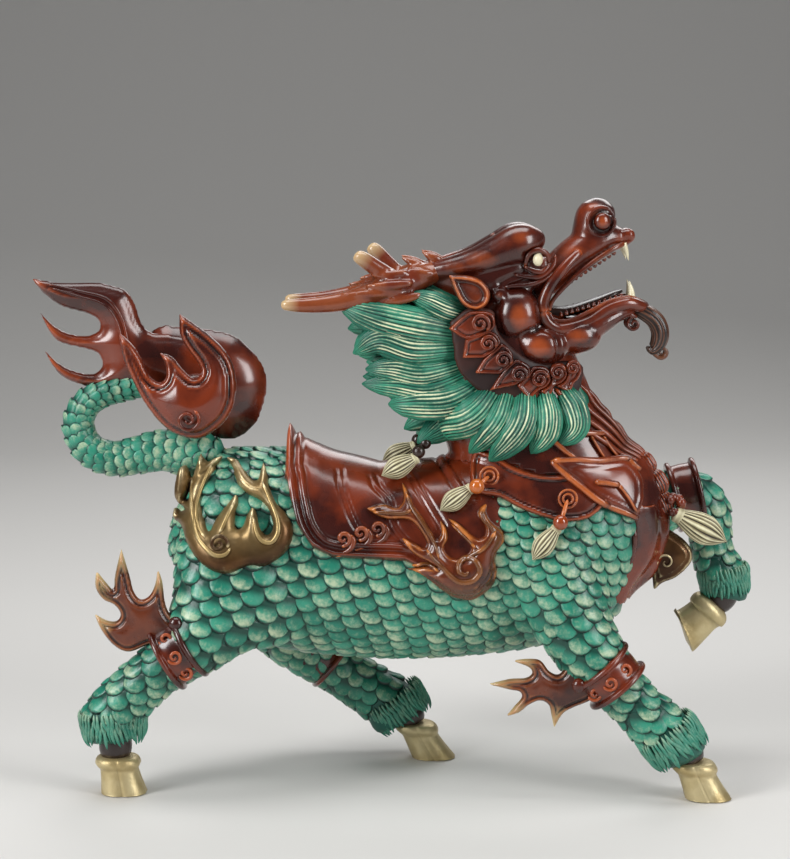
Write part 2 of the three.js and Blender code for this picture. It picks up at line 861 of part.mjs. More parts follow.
/** The antlers, swept back from the crown, each with one raised tine. */
function antlers() {
  return bothSides((side) => [
    sweep(
      [
        [24, side * 11, 231, 0, 0],
        [6, side * 14, 228, 5.5, 6],
        [-8, side * 17, 222, 4.5, 5],
        [-24, side * 18, 218, 3.6, 3.8],
        [-39, side * 18, 216.5, 3, 3],
        [-49, side * 18, 217, 0, 0],
      ],
      { sides: 5 },
    ),
    sweep(
      [
        [6, side * 14, 226, 0, 0],
        [-1, side * 15, 229, 4, 4],
        [-9, side * 16, 234, 3.2, 3.2],
        [-17, side * 17, 240.5, 0, 0],
      ],
      { sides: 5 },
    ),
  ]);
}

const CASTING = [
  ...trunk(),
  ...neck(),
  ...legs(),
  ...hooves(),
  ...cuffs(),
  ...tail(),
  ...saddle(),
  ...harness(),
  ...scrollwork(),
  ...pendants(),
  ...breast(),
  ...mane(),
  ...collar(),
  ...head(),
  ...beard(),
  ...antlers(),
];

/** The finished casting as one named mesh. */
function figure() {
  const cast = fused(CASTING).getMesh();
  const geometry = new THREE.BufferGeometry();
  geometry.setAttribute("position", new THREE.BufferAttribute(cast.vertProperties, cast.numProp));
  geometry.setIndex(new THREE.BufferAttribute(cast.triVerts, 1));
  geometry.computeVertexNormals();
  const material = new THREE.MeshStandardMaterial({ color: 0x1f7a5c, roughness: 0.5, metalness: 0.3 });
  const mesh = new THREE.Mesh(geometry, material);
  mesh.name = "qilin_figure";
  return mesh;
}

const qilin = new THREE.Group();
qilin.add(figure());

export default qilin;
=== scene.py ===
"""A prancing qilin, cast and painted: scaled green hide, lacquer head and flames, gilt hooves and scrolls.

Every shape is drawn in millimetres on the drawing's own frame (x toward the head, y away from the near
side, z up, the origin on the ground) and is moved into the part's frame, in metres, when it is finished.
"""

from __future__ import annotations

import logging
import math
import random
from collections.abc import Callable, Sequence
from dataclasses import dataclass, field
from enum import Enum

import bmesh
import bpy
import numpy as np
from mathutils import Matrix, Vector
from mathutils.bvhtree import BVHTree
from mathutils.kdtree import KDTree


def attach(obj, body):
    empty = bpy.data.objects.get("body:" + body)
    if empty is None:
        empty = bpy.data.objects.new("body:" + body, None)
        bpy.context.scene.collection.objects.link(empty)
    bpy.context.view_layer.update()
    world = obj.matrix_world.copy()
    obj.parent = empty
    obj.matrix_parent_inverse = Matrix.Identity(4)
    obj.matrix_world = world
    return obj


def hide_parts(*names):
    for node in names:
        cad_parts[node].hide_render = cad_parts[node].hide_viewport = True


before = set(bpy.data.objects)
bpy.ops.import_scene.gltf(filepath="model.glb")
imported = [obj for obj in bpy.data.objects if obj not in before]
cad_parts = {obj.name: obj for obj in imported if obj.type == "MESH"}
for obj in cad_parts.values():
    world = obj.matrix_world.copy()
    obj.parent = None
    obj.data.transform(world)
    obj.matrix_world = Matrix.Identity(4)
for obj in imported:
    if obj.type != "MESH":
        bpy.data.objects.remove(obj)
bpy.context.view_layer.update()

logging.basicConfig(level=logging.INFO, format="%(message)s")
log = logging.getLogger("qilin")

NODE = "qilin_figure"
BODY = "root"
CENTRE_X = 1.9  # the drawing's middle is this far behind the middle of the finished box
METRES = 0.001
BARE_FLANK = 13.0  # relief never lies nearer to the middle plane than this
OUTSIDE = 90.0  # a distance from the middle plane that is well outside the figure
Form = bmesh.types.BMesh
Row = Sequence[float]
Colour = tuple[float, float, float]
ScaleSpot = tuple[Vector, Vector, Vector, float, float]  # root, normal, way, row length and width


class Side(Enum):
    """The two flanks of the beast."""

    NEAR = -1
    FAR = 1


def sampled(rows: Sequence[Row], steps: int) -> np.ndarray:
    """Points along a smooth curve through rows of numbers.

    Args:
        rows: The rows that the curve passes through.
        steps: How many points each span gets.

    Returns:
        One row for each point.
    """
    knots = np.array(rows, float)
    padded = np.vstack([2 * knots[0] - knots[1], knots, 2 * knots[-1] - knots[-2]])
    found = []
    for i in range(len(knots) - 1):
        a, b, c, d = padded[i : i + 4]
        for t in np.linspace(0, 1, steps, endpoint=False):
            curve = 2 * b + (c - a) * t + (2 * a - 5 * b + 4 * c - d) * t**2
            found.append(0.5 * (curve + (3 * b - a - 3 * c + d) * t**3))
    return np.array([*found, knots[-1]])


def bell(at: float | np.ndarray, middle: float, width: float) -> float | np.ndarray:
    """A smooth bump that is 1 at its middle, for a number or an array."""
    return np.exp(-(((at - middle) / width) ** 2))


def along_edge(edge: Sequence[Row], at: float) -> float:
    """The second number of an edge's rows where the first one has a given value."""
    return float(np.interp(at, [row[0] for row in edge], [row[1] for row in edge]))


def paint_layer(shape: Form, name: str) -> bmesh.types.BMLayerItem:
    """The layer of that name, which the paint follows, made where the form has none."""
    layers = shape.verts.layers.float
    return layers.get(name) or layers.new(name)


def moved_points(grown: Sequence[object]) -> list[bmesh.types.BMVert]:
    """The points among what an extrusion has made."""
    return [item for item in grown if isinstance(item, bmesh.types.BMVert)]


def lofted(
    shape: Form,
    columns: int,
    rows: int,
    place: Callable[[float, float], tuple[Vector, float, float]],
) -> None:
    """Adds a grid and bends it to a rule.

    Args:
        shape: The mesh that the grid is added to.
        columns: Faces round the form.
        rows: Faces along the form.
        place: From the turn and the run, both 0 to 1, to the place, how far it is on a crest and how far
            it is in a hollow.
    """
    crest, hollow = paint_layer(shape, "crest"), paint_layer(shape, "hollow")
    grid = bmesh.ops.create_grid(shape, x_segments=columns, y_segments=rows, size=0.5)
    for vert in grid["verts"]:
        vert.co, vert[crest], vert[hollow] = place(vert.co.x + 0.5, vert.co.y + 0.5)


@dataclass(frozen=True)
class Sweep:
    """An oval body along rows of x, y, z, half-size across and half-size square to it.

    Attributes:
        rows: The stations from one end to the other.
        sides: Faces round the body.
        steps: Rings for each span.
        across: The direction that the first half-size lies along.
        ridges: Ridges round the body.
        ridge_rise: Height of the ridges as a share of the half-size.
        power: 2 for an ellipse, more for a squarer section.
        taper: How gently both ends are rounded off; 0 leaves the half-sizes as they are.
        fading: Whether the pale paint fades toward its ends, and toward its edges in the side view, so that
            ridges turned sideways carry a painted highlight.
    """

    rows: Sequence[Row]
    sides: int = 24
    steps: int = 6
    across: tuple[float, float, float] = (0, 1, 0)
    ridges: int = 0
    ridge_rise: float = 0.0
    power: float = 2.0
    taper: float = 0.0
    fading: bool = False

    def frames(self) -> list[tuple[Vector, Vector, Vector, float, float]]:
        """The rings of the body.

        Returns:
            Centre, two side directions and two half-sizes of each ring.
        """
        points = sampled(self.rows, self.steps)
        ways = np.gradient(points[:, :3], axis=0)
        runs = np.linspace(0, 1, len(points))
        ends = np.clip(np.sin(runs * math.pi), 0, 1) ** self.taper if self.taper else np.ones(len(points))
        found = []
        for row, way, end in zip(points, ways, ends, strict=True):
            along = Vector(way).normalized()
            across = Vector(self.across)
            across = (across - along * across.dot(along)).normalized()
            wide, tall = max(row[3], 0.0) * end, max(row[4], 0.0) * end
            found.append((Vector(row[:3]), across, across.cross(along), wide, tall))
        return found

    def ridge_paint_and_highlight(self, ridge: int, sidelong: float, run: float) -> float:
        """How much pale paint a ridge holds: dry brushing, and a painted highlight on ridges that face
        sideways.

        Args:
            ridge: Number of the ridge.
            sidelong: How squarely the ridge faces sideways, from 0 to 1.
            run: Share of the body's length.

        Returns:
            A share, the same all over a body whose paint doesn't fade.
        """
        if not self.fading:
            return 1.0
        chance = (math.sin(ridge * 12.9898 + self.rows[0][0] * 7.13) * 43758.5453) % 1
        # Ridges that face sideways hold more: a painted highlight.
        middle = sidelong * math.sin(math.pi * min(max(run, 0.0), 1.0)) ** 0.9
        patch = 0.5 + 0.5 * math.sin(run * (6 + 7 * chance) + chance * 23)
        return (0.08 + 1.7 * middle**1.5) * (0.45 + 0.55 * chance) * (0.5 + 0.5 * patch)

    def add(self, shape: Form) -> None:
        """Adds the body to a mesh, closed at both ends.

        Args:
            shape: The mesh.
        """
        frames = self.frames()
        last = len(frames) - 1

        def place(turn: float, run: float) -> tuple[Vector, float, float]:
            """Bends the grid round the rings.

            Args:
                turn: Share of the way round.
                run: Share of the length, with one row more at each end that shuts it.

            Returns:
                The place, the crest and the hollow.
            """
            index = round(run * (last + 2)) - 1
            centre, across, deep, wide, tall = frames[min(max(index, 0), last)]
            shut = 0.0 if index < 0 or index > last else 1.0
            angle = turn * math.tau
            drift = 0.6 * math.sin(2 * angle + 1.3) + 0.5 * math.sin(5 * angle + 4 * run)
            wave = abs(math.cos(angle * self.ridges / 2 + drift)) ** 0.7 if self.ridges else 0.0
            grow = shut * (1 + self.ridge_rise * (wave - 1))
            cos, sin = math.cos(angle), math.sin(angle)
            square = (abs(cos) ** self.power + abs(sin) ** self.power) ** (-1 / self.power)
            spot = centre + across * (cos * wide * grow * square) + deep * (sin * tall * grow * square)
            if not self.ridges:
                return spot, 0.0, 0.0
            share = self.ridge_paint_and_highlight(round((angle * self.ridges / 2 + drift) / math.pi), abs(cos), run)
            return spot, 0.7 * share * wave**5, max(0.0, 1 - 1.5 * wave)

        lofted(shape, self.sides, last + 2, place)


def closed(shape: Form, gap: float = 0.002) -> Form:
    """Welds a mesh's seams and poles and turns its faces outwards.

    Args:
        shape: The mesh.
        gap: Distance within which points are welded.

    Returns:
        The same mesh.
    """
    bmesh.ops.remove_doubles(shape, verts=shape.verts, dist=gap)
    bmesh.ops.dissolve_degenerate(shape, edges=shape.edges, dist=gap / 2)
    bmesh.ops.recalc_face_normals(shape, faces=shape.faces)
    return shape


def swept(bodies: Sequence[Sweep]) -> Form:
    """One mesh of several bodies.

    Args:
        bodies: The bodies.

    Returns:
        The mesh, with each body closed.
    """
    shape = bmesh.new()
    for body in bodies:
        body.add(shape)
    return closed(shape)


def in_scene(shape: Form, name: str) -> bpy.types.Object:
    """Puts a form in the scene as an object.

    Args:
        shape: The form, which is freed.
        name: The object's name.

    Returns:
        The object.
    """
    mesh = bpy.data.meshes.new(name)
    shape.to_mesh(mesh)
    shape.free()
    made = bpy.data.objects.new(name, mesh)
    bpy.context.scene.collection.objects.link(made)
    return made


def soften(shape: Form, verts: Sequence[bmesh.types.BMVert], rounds: int) -> None:
    """Evens out points of a mesh, some rounds over."""
    for _ in range(rounds):
        bmesh.ops.smooth_vert(
            shape, verts=verts, factor=0.5, use_axis_x=True, use_axis_y=True, use_axis_z=True
        )


def fused(shape: Form, voxel: float, smooth: int) -> Form:
    """Runs overlapping closed forms together into one skin.

    Args:
        shape: The forms, which are freed.
        voxel: Size of the skin's faces in millimetres.
        smooth: Rounds of smoothing that soften the joins.

    Returns:
        The skin.
    """
    holder = in_scene(shape, "blank")
    remesh = holder.modifiers.new("skin", "REMESH")
    remesh.mode = "VOXEL"
    remesh.voxel_size = voxel
    skin = bmesh.new()
    skin.from_mesh(holder.evaluated_get(bpy.context.evaluated_depsgraph_get()).to_mesh())
    mesh = holder.data
    bpy.data.objects.remove(holder)
    bpy.data.meshes.remove(mesh)
    soften(skin, skin.verts, smooth)
    return skin


def arrays(shape: Form) -> tuple[np.ndarray, np.ndarray, np.ndarray]:
    """A mesh as arrays.

    Args:
        shape: The mesh.

    Returns:
        Its places, its normals and the pairs of points that its edges join.
    """
    shape.verts.ensure_lookup_table()
    shape.verts.index_update()
    shape.normal_update()
    places = np.array([vert.co for vert in shape.verts])
    normals = np.array([vert.normal for vert in shape.verts])
    edges = np.array([(edge.verts[0].index, edge.verts[1].index) for edge in shape.edges])
    return places, normals, edges


def neighbour_mean(values: np.ndarray, edges: np.ndarray) -> np.ndarray:
    """The mean of each point's neighbours.

    Args:
        values: One number, or one row of numbers, for each point.
        edges: Pairs of joined points.

    Returns:
        The means, in the shape of the values.
    """
    flat = values.reshape(len(values), -1)
    ends = np.concatenate([edges[:, 0], edges[:, 1]])
    others = np.concatenate([edges[:, 1], edges[:, 0]])
    count = np.maximum(np.bincount(ends, minlength=len(flat)), 1)
    columns = [np.bincount(ends, column[others], len(flat)) / count for column in flat.T]
    return np.stack(columns, axis=1).reshape(values.shape)


def mark_relief(shape: Form, gain: float = 2.5, rounds: int = 2) -> Form:
    """Notes on each point how far it lies on a crest or in a hollow, for the paint to follow.

    Args:
        shape: The finished form.
        gain: How quickly a bend counts as a crest.
        rounds: Rounds of averaging.

    Returns:
        The same form with its crest and hollow layers.
    """
    places, normals, edges = arrays(shape)
    length = np.linalg.norm(places[edges[:, 0]] - places[edges[:, 1]], axis=1).mean()
    bend = -((neighbour_mean(places, edges) - places) * normals).sum(axis=1) / length
    for _ in range(rounds):
        bend = 0.5 * bend + 0.5 * neighbour_mean(bend, edges)
    crest, hollow = paint_layer(shape, "crest"), paint_layer(shape, "hollow")
    for vert, value in zip(shape.verts, bend * gain, strict=True):
        vert[crest] = min(max(value, vert[crest], 0.0), 1.0)
        vert[hollow] = min(max(-value, vert[hollow], 0.0), 1.0)
    return shape


def rounded_outline(corners: Sequence[Row], spacing: float = 0.6) -> np.ndarray:
    """A closed outline of x and z, smooth between its sharp corners.

    Args:
        corners: Rows of x, z and, at a sharp corner, 1, or 2 where it isn't a tip.
        spacing: Distance between the outline's points.

    Returns:
        The points of the outline.
    """
    rows = [(*row[:2], row[2] if len(row) > 2 else 0) for row in corners]
    start = next((i for i, row in enumerate(rows) if row[2]), 0)
    rows = [*rows[start:], *rows[: start + 1]]
    sharp = [i for i, row in enumerate(rows) if row[2]]
    if not sharp:
        sharp = [0, len(rows) - 1]
    points = []
    for first, last in zip(sharp, sharp[1:], strict=False):
        span = [row[:2] for row in rows[first : last + 1]]
        curve = sampled(span, 12)
        steps = np.linalg.norm(np.diff(curve, axis=0), axis=1)
        total = np.concatenate([[0], np.cumsum(steps)])
        count = max(2, round(total[-1] / spacing))
        marks = np.linspace(0, total[-1], count, endpoint=False)
        points.append(np.stack([np.interp(marks, total, column) for column in curve.T], axis=1))
    return np.vstack(points)


def line_distance(spots: np.ndarray, line: np.ndarray) -> np.ndarray:
    """How far places lie from a line in the side view.

    Args:
        spots: x and z of each place.
        line: x and z of each point of the line.

    Returns:
        The distance of each place.
    """
    found = np.full(len(spots), np.inf)
    for start, end in zip(line, line[1:], strict=False):
        way = end - start
        share = np.clip(((spots - start) @ way) / max(way @ way, 1e-9), 0, 1)
        found = np.minimum(found, np.linalg.norm(spots - start - share[:, None] * way, axis=1))
    return found


@dataclass(frozen=True)
class Carving:
    """How a carved plate rises from its edge inwards, in millimetres.

    Attributes:
        thick: Rise in the middle.
        edge: Rise at the very edge.
        run: Distance over which it rises to its middle.
        lip: Rise of the lip along the edge.
        lip_at: Distance of the lip's top from the edge.
        groove: Depth of the groove behind the lip.
        groove_at: Distance of the groove from the edge.
        second: Rise of a thinner lip behind the groove.
    """

    thick: float = 5.0
    edge: float = 0.9
    run: float = 3.5
    lip: float = 0.6
    lip_at: float = 1.0
    groove: float = 0.7
    groove_at: float = 2.1
    second: float = 0.35

    LIP_WIDTH = 0.6
    GROOVE_WIDTH = 0.45
    SECOND_WIDTH = 0.5

    def height(self, distance: np.ndarray) -> np.ndarray:
        """The rise of the face.

        Args:
            distance: Distance of each place from the edge.

        Returns:
            The rise at each place.
        """
        rise = self.edge + (self.thick - self.edge) * (1 - np.exp(-distance / self.run))
        rise += self.lip * bell(distance, self.lip_at, self.LIP_WIDTH)
        rise -= self.groove * bell(distance, self.groove_at, self.GROOVE_WIDTH)
        second_at = 2 * self.groove_at - self.lip_at
        return rise + self.second * bell(distance, second_at, self.SECOND_WIDTH)


@dataclass(frozen=True)
class CarvedPlate:
    """A flame or scroll cut to an outline in the side view.

    Attributes:
        corners: The outline as rows of x, z and, at a sharp corner, 1.
        carving: How its faces rise from the edge.
        voxel: Size of its faces.
    """

    corners: Sequence[Row]
    carving: Carving = Carving()
    voxel: float = 0.8

    def blank(self) -> Form:
        """The plate before it is carved.

        Returns:
            A plate 2 mm thick about y = 0, cut to the outline.
        """
        outline = rounded_outline(self.corners)
        shape = bmesh.new()
        ring = [shape.verts.new((x, -1.0, z)) for x, z in outline]
        face = shape.faces.new(ring)
        side = bmesh.ops.extrude_face_region(shape, geom=[face])["geom"]
        bmesh.ops.translate(shape, verts=moved_points(side), vec=(0, 2, 0))
        bmesh.ops.triangulate(shape, faces=shape.faces)
        bmesh.ops.recalc_face_normals(shape, faces=shape.faces)
        return fused(shape, self.voxel, 1)

    def carved(self, place: Callable[[Vector, float, float], Vector]) -> Form:
        """The plate with every point moved by a rule.

        Args:
            place: From a point's place on the blank, its rise and its share of the way out, -1 to 1, to its
                place on the plate.

        Returns:
            The carved plate.
        """
        shape = self.blank()
        outline = rounded_outline(self.corners)
        outline = np.vstack([outline, outline[:1]])
        shape.verts.ensure_lookup_table()
        spots = np.array([(vert.co.x, vert.co.z) for vert in shape.verts])
        rises = self.carving.height(np.maximum(line_distance(spots, outline) - self.voxel * 0.3, 0))
        for vert, rise in zip(shape.verts, rises, strict=True):
            vert.co = place(vert.co.copy(), rise, min(max(vert.co.y, -1.0), 1.0))
        bmesh.ops.recalc_face_normals(shape, faces=shape.faces)
        return mark_relief(shape)

    def standing(self, middle: Callable[[float, float], float]) -> Form:
        """The plate carved on both faces about a middle y that may vary with x and z."""
        return self.carved(lambda at, rise, out: Vector((at.x, middle(at.x, at.z) + out * rise, at.z)))

    def laid(self, carrier: Carrier, side: Side, sink: float = 2.0, soft: float = 0.0) -> Form:
        """The plate laid on a flank and sunk into it.

        Args:
            carrier: What it lies on.
            side: The flank.
            sink: How deep its underside is let in.
            soft: How far steps of the surface under it are evened out.

        Returns:
            The plate.
        """

        def place(at: Vector, rise: float, out: float) -> Vector:
            """Moves a point of the blank to the flank.

            Args:
                at: The point on the blank.
                rise: How far the carving stands out there.
                out: Its share of the way out, -1 to 1.

            Returns:
                The point on the flank.
            """
            share = 0.5 + 0.5 * out
            proud = -sink + (rise + 0.9 + sink) * share
            base, away = carrier.even_flank(at.x, at.z, side, soft)
            return Vector((at.x, base, at.z)) + away * proud

        def flipped(at: Vector, rise: float, out: float) -> Vector:
            """The same, with the blank's outer face turned to its flank."""
            return place(at, rise, out if side is Side.FAR else -out)

        return self.carved(flipped)


@dataclass
class Carrier:
    """The skin that relief is laid on.

    Attributes:
        tree: Search tree over the skin.
        under: The carrier that this one lies on, where there is one.
    """

    tree: BVHTree
    under: Carrier | None = None

    LEAN = 0.35  # how far relief leans toward the surface's own normal
    INNER = 14.0  # distance from the middle plane at which the nearest skin is looked for
    AROUND = 6  # places in the ring over which a flank is evened out

    @classmethod
    def over(cls, shape: Form, under: Carrier | None = None) -> Carrier:
        """A carrier made of a form, which is left as it is."""
        return cls(BVHTree.FromBMesh(shape), under)

    def even_flank(self, x: float, z: float, side: Side, reach: float) -> tuple[float, Vector]:
        """The flank at x and z, evened out over a ring of places round it.

        Args:
            x: Place along the figure.
            z: Height.
            side: The flank.
            reach: Radius of the ring, 0 for none.

        Returns:
            The y and the way that relief stands away from it.
        """
        found = [self.flank(x, z, side)]
        if reach:
            for turn in np.linspace(0, math.tau, self.AROUND, endpoint=False):
                found.append(self.flank(x + reach * math.cos(turn), z + reach * math.sin(turn), side))
        away = Vector()
        for _, way in found:
            away += way
        return sum(y for y, _ in found) / len(found), away.normalized()

    def flank(self, x: float, z: float, side: Side) -> tuple[float, Vector]:
        """The outermost y at x and z, and the way that relief stands away from it.

        Args:
            x: Place along the figure.
            z: Height.
            side: The flank.

        Returns:
            The y, kept off the middle plane, and the direction.
        """
        away = Vector((0, side.value, 0))
        best: tuple[float, Vector] | None = None
        layer: Carrier | None = self
        while layer is not None:
            spot, normal, _, _ = layer.tree.ray_cast(Vector((x, side.value * OUTSIDE, z)), -away)
            if spot is not None and (best is None or side.value * spot.y > best[0]):
                best = (side.value * spot.y, normal)
            last, layer = layer, layer.under
        if best is None:
            spot, normal, _, _ = last.tree.find_nearest(Vector((x, side.value * self.INNER, z)))
            best = (side.value * spot.y, normal)
        return side.value * max(best[0], BARE_FLANK), (away + best[1] * self.LEAN).normalized()

    def outermost(self, spot: Vector, way: Vector, start: float = 28.0) -> Vector:
        """The first place met from outside along a direction.

        Args:
            spot: A place inside.
            way: The direction outwards.
            start: How far out the search begins.

        Returns:
            The place met, or the spot itself where nothing is met.
        """
        found, _, _, _ = self.tree.ray_cast(spot + way * start, -way)
        return found if found is not None else spot

    def nearest(self, spot: Vector) -> tuple[Vector, Vector]:
        """The nearest place on the skin and the way out of it."""
        found, normal, _, _ = self.tree.find_nearest(spot)
        return found, normal


def add_node(
    tree: bpy.types.NodeTree, kind: str, inputs: dict[str | int, object] | None = None, **settings: object
) -> bpy.types.Node:
    """Adds a shader node to a tree.

    Args:
        tree: The tree.
        kind: The node's type, without the leading ShaderNode.
        inputs: What goes into its sockets: a value is set, and another node's socket is linked.
        **settings: Its own settings, which are set first.

    Returns:
        The node.
    """
    made = tree.nodes.new(f"ShaderNode{kind}")
    for name, value in settings.items():
        setattr(made, name, value)
    for name, value in (inputs or {}).items():
        if isinstance(value, bpy.types.NodeSocket):
            tree.links.new(value, made.inputs[name])
        else:
            made.inputs[name].default_value = value
    return made


class Groups:
    """Node groups that the finishes share, each made once."""

    @staticmethod
    def _new(
        name: str, inputs: Sequence[tuple[str, float]], output: str
    ) -> tuple[bpy.types.NodeTree, bpy.types.NodeOutputs, bpy.types.NodeSocket]:
        """An empty group.

        Args:
            name: Its name.
            inputs: Label and usual value of each input.
            output: Label of its one output.

        Returns:
            The group, the inputs' sockets inside it and the socket that its result goes to.
        """
        tree = bpy.data.node_groups.new(name, "ShaderNodeTree")
        for label, value in inputs:
            socket = tree.interface.new_socket(label, in_out="INPUT", socket_type="NodeSocketFloat")
            socket.default_value = value
        tree.interface.new_socket(output, in_out="OUTPUT", socket_type="NodeSocketFloat")
        entry, leave = tree.nodes.new("NodeGroupInput"), tree.nodes.new("NodeGroupOutput")
        return tree, entry.outputs, leave.inputs[output]

    @classmethod
    def brush_and_highlight(cls) -> bpy.types.NodeTree:
        """A broken mask of the crest colour: dry brushing on the crests, and the painted highlights noted on
        the same layer.

        Returns:
            The group.
        """
        if "dry_brush_and_highlight" in bpy.data.node_groups:
            return bpy.data.node_groups["dry_brush_and_highlight"]
        settings = [("Amount", 0.5), ("Grain", 1500.0), ("Broken", 0.5)]
        tree, entry, leave = cls._new("dry_brush_and_highlight", settings, "Mask")
        crest = add_node(tree, "Attribute", attribute_name="crest")
        where = add_node(tree, "TexCoord").outputs["Object"]
        noise = add_node(
            tree, "TexNoise", {"Vector": where, "Scale": entry["Grain"], "Detail": 5.0, "Roughness": 0.7}
        )
        spread = add_node(
            tree, "Math", {0: noise.outputs["Fac"], 1: entry["Broken"], 2: 0.0}, operation="MULTIPLY_ADD"
        )
        centred = add_node(
            tree, "Math", {0: entry["Broken"], 1: -0.5, 2: spread.outputs[0]}, operation="MULTIPLY_ADD"
        )
        total = add_node(tree, "Math", {0: crest.outputs["Fac"], 1: centred.outputs[0]}, operation="ADD")
        gate = add_node(
            tree, "MapRange", {"Value": total.outputs[0], "From Min": 0.15, "From Max": 0.75},
            interpolation_type="SMOOTHSTEP",
        )
        scaled = add_node(
            tree, "Math", {0: gate.outputs[0], 1: entry["Amount"]}, operation="MULTIPLY", use_clamp=True
        )
        tree.links.new(scaled.outputs[0], leave)
        return tree

    @classmethod
    def grain(cls) -> bpy.types.NodeTree:
        """A soft uneven value, as paint has over a casting.

        Returns:
            The group.
        """
        if "paint_grain" in bpy.data.node_groups:
            return bpy.data.node_groups["paint_grain"]
        settings = [("Scale", 300.0), ("Low", 0.3), ("High", 0.7)]
        tree, entry, leave = cls._new("paint_grain", settings, "Value")
        where = add_node(tree, "TexCoord").outputs["Object"]
        noise = add_node(tree, "TexNoise", {"Vector": where, "Scale": entry["Scale"], "Detail": 4.0})
        ends = {"From Min": 0.3, "From Max": 0.7, "To Min": entry["Low"], "To Max": entry["High"]}
        gate = add_node(tree, "MapRange", {"Value": noise.outputs["Fac"], **ends})
        tree.links.new(gate.outputs[0], leave)
        return tree


@dataclass(frozen=True)
class PaintFinish:
    """A painted finish: a body colour, darker paint in the hollows that is partly washes and partly painted
    shade, and a crest colour that is partly dry brushing and partly painted highlight.

    Attributes:
        name: Name of the material.
        slot: Name of its material slot; not used.
        deep: Colour of the hollows, partly washes and partly painted shade.
        body: Main colour.
        second: Colour that the body varies towards.
        crest: Colour of the crests, partly dry brushing and partly painted highlight.
        brush_and_highlight: How much of the crests takes the crest colour.
        grain: Fineness of the brushed grain, per metre.
        broken: How broken the brushing is.
        rough: Roughness, from the smoothest to the roughest places.
        metallic: How metallic the body is.
        crest_metallic: How metallic the brushed crests are.
        coat: Strength of the clear lacquer.
        bump: Height of the fine unevenness.
        shade: How dark the hollows get, washes and painted shade together.
        cloud: Fineness of the body's colour variation, per metre.
        pale: Colour of the worn tips, where the finish has them.
    """

    name: str
    slot: str
    deep: Colour
    body: Colour
    second: Colour
    crest: Colour
    brush_and_highlight: float = 0.8
    grain: float = 900.0
    broken: float = 0.6
    rough: tuple[float, float] = (0.35, 0.5)
    metallic: float = 0.0
    crest_metallic: float = 0.0
    coat: float = 0.0
    bump: float = 0.08
    shade: float = 1.0
    cloud: float = 60.0
    pale: Colour | None = None

    def material(self) -> bpy.types.Material:
        """The finish as a material, made once.

        Returns:
            The material.
        """
        if self.name in bpy.data.materials:
            return bpy.data.materials[self.name]
        made = bpy.data.materials.new(self.name)
        made.use_nodes = True
        tree = made.node_tree
        shader = tree.nodes["Principled BSDF"]

        def grain(scale: float, low: float, high: float) -> bpy.types.NodeSocket:
            """An uneven value between two ends."""
            inputs = {"Scale": scale, "Low": low, "High": high}
            return add_node(tree, "Group", inputs, node_tree=Groups.grain()).outputs["Value"]

        def noted(name: str) -> bpy.types.NodeSocket:
            """What is noted on the mesh under a name."""
            return add_node(tree, "Attribute", attribute_name=name).outputs["Fac"]

        def mixed(mask: bpy.types.NodeSocket, low: object, high: object) -> bpy.types.NodeSocket:
            """A mix of two colours, each given as a value or as a socket."""
            low, high = ((*value, 1.0) if isinstance(value, tuple) else value for value in (low, high))
            return add_node(tree, "Mix", {"Factor": mask, 6: low, 7: high}, data_type="RGBA").outputs[2]

        vary = add_node(
            tree, "Math", {0: grain(self.cloud, -0.7, 1.7), 1: noted("tint")}, operation="ADD", use_clamp=True
        )
        base = mixed(vary.outputs[0], self.body, self.second)
        if self.pale is not None:
            base = mixed(noted("pale"), base, self.pale)
        # The hollows darken: partly washes, partly painted shade.
        wash_and_shade = add_node(
            tree, "MapRange",
            {"Value": noted("hollow"), "From Min": 0.05, "From Max": 0.6, "To Max": self.shade},
            interpolation_type="SMOOTHSTEP",
        )
        washed_and_shaded = mixed(wash_and_shade.outputs[0], base, self.deep)
        settings = {"Amount": self.brush_and_highlight, "Grain": self.grain, "Broken": self.broken}
        # The crests take the crest colour: dry brushing and painted highlights.
        mask = add_node(tree, "Group", settings, node_tree=Groups.brush_and_highlight()).outputs["Mask"]
        tree.links.new(mixed(mask, washed_and_shaded, self.crest), shader.inputs["Base Color"])
        tree.links.new(grain(self.cloud * 2.5, *self.rough), shader.inputs["Roughness"])
        if self.crest_metallic != self.metallic:
            ends = {"Value": mask, "To Min": self.metallic, "To Max": self.crest_metallic}
            tree.links.new(add_node(tree, "MapRange", ends).outputs[0], shader.inputs["Metallic"])
        else:
            shader.inputs["Metallic"].default_value = self.metallic
        shader.inputs["Coat Weight"].default_value = self.coat
        shader.inputs["Coat Roughness"].default_value = 0.14
        fine = grain(self.grain * 1.2, 0.0, 1.0)
        bump = add_node(tree, "Bump", {"Strength": self.bump, "Distance": 0.0006, "Height": fine})
        tree.links.new(bump.outputs["Normal"], shader.inputs["Normal"])
        return made


SCALE_PAINT = PaintFinish(
    "scale_green", "green_hide", (0.002, 0.022, 0.017), (0.012, 0.19, 0.125), (0.035, 0.28, 0.185),
    (0.52, 0.60, 0.40), brush_and_highlight=0.92, grain=420.0, broken=1.0, rough=(0.28, 0.46), bump=0.14,
)
HIDE_PAINT = PaintFinish(
    "hide_green", "green_hide", (0.002, 0.02, 0.016), (0.006, 0.075, 0.055), (0.01, 0.11, 0.08),
    (0.1, 0.3, 0.2), brush_and_highlight=0.2, rough=(0.4, 0.55),
)
MANE_PAINT = PaintFinish(
    "mane_green", "green_mane", (0.002, 0.022, 0.016), (0.010, 0.145, 0.092), (0.034, 0.27, 0.165),
    (0.80, 0.82, 0.54), brush_and_highlight=1.0, grain=260.0, broken=0.8, rough=(0.38, 0.5), bump=0.08,
)
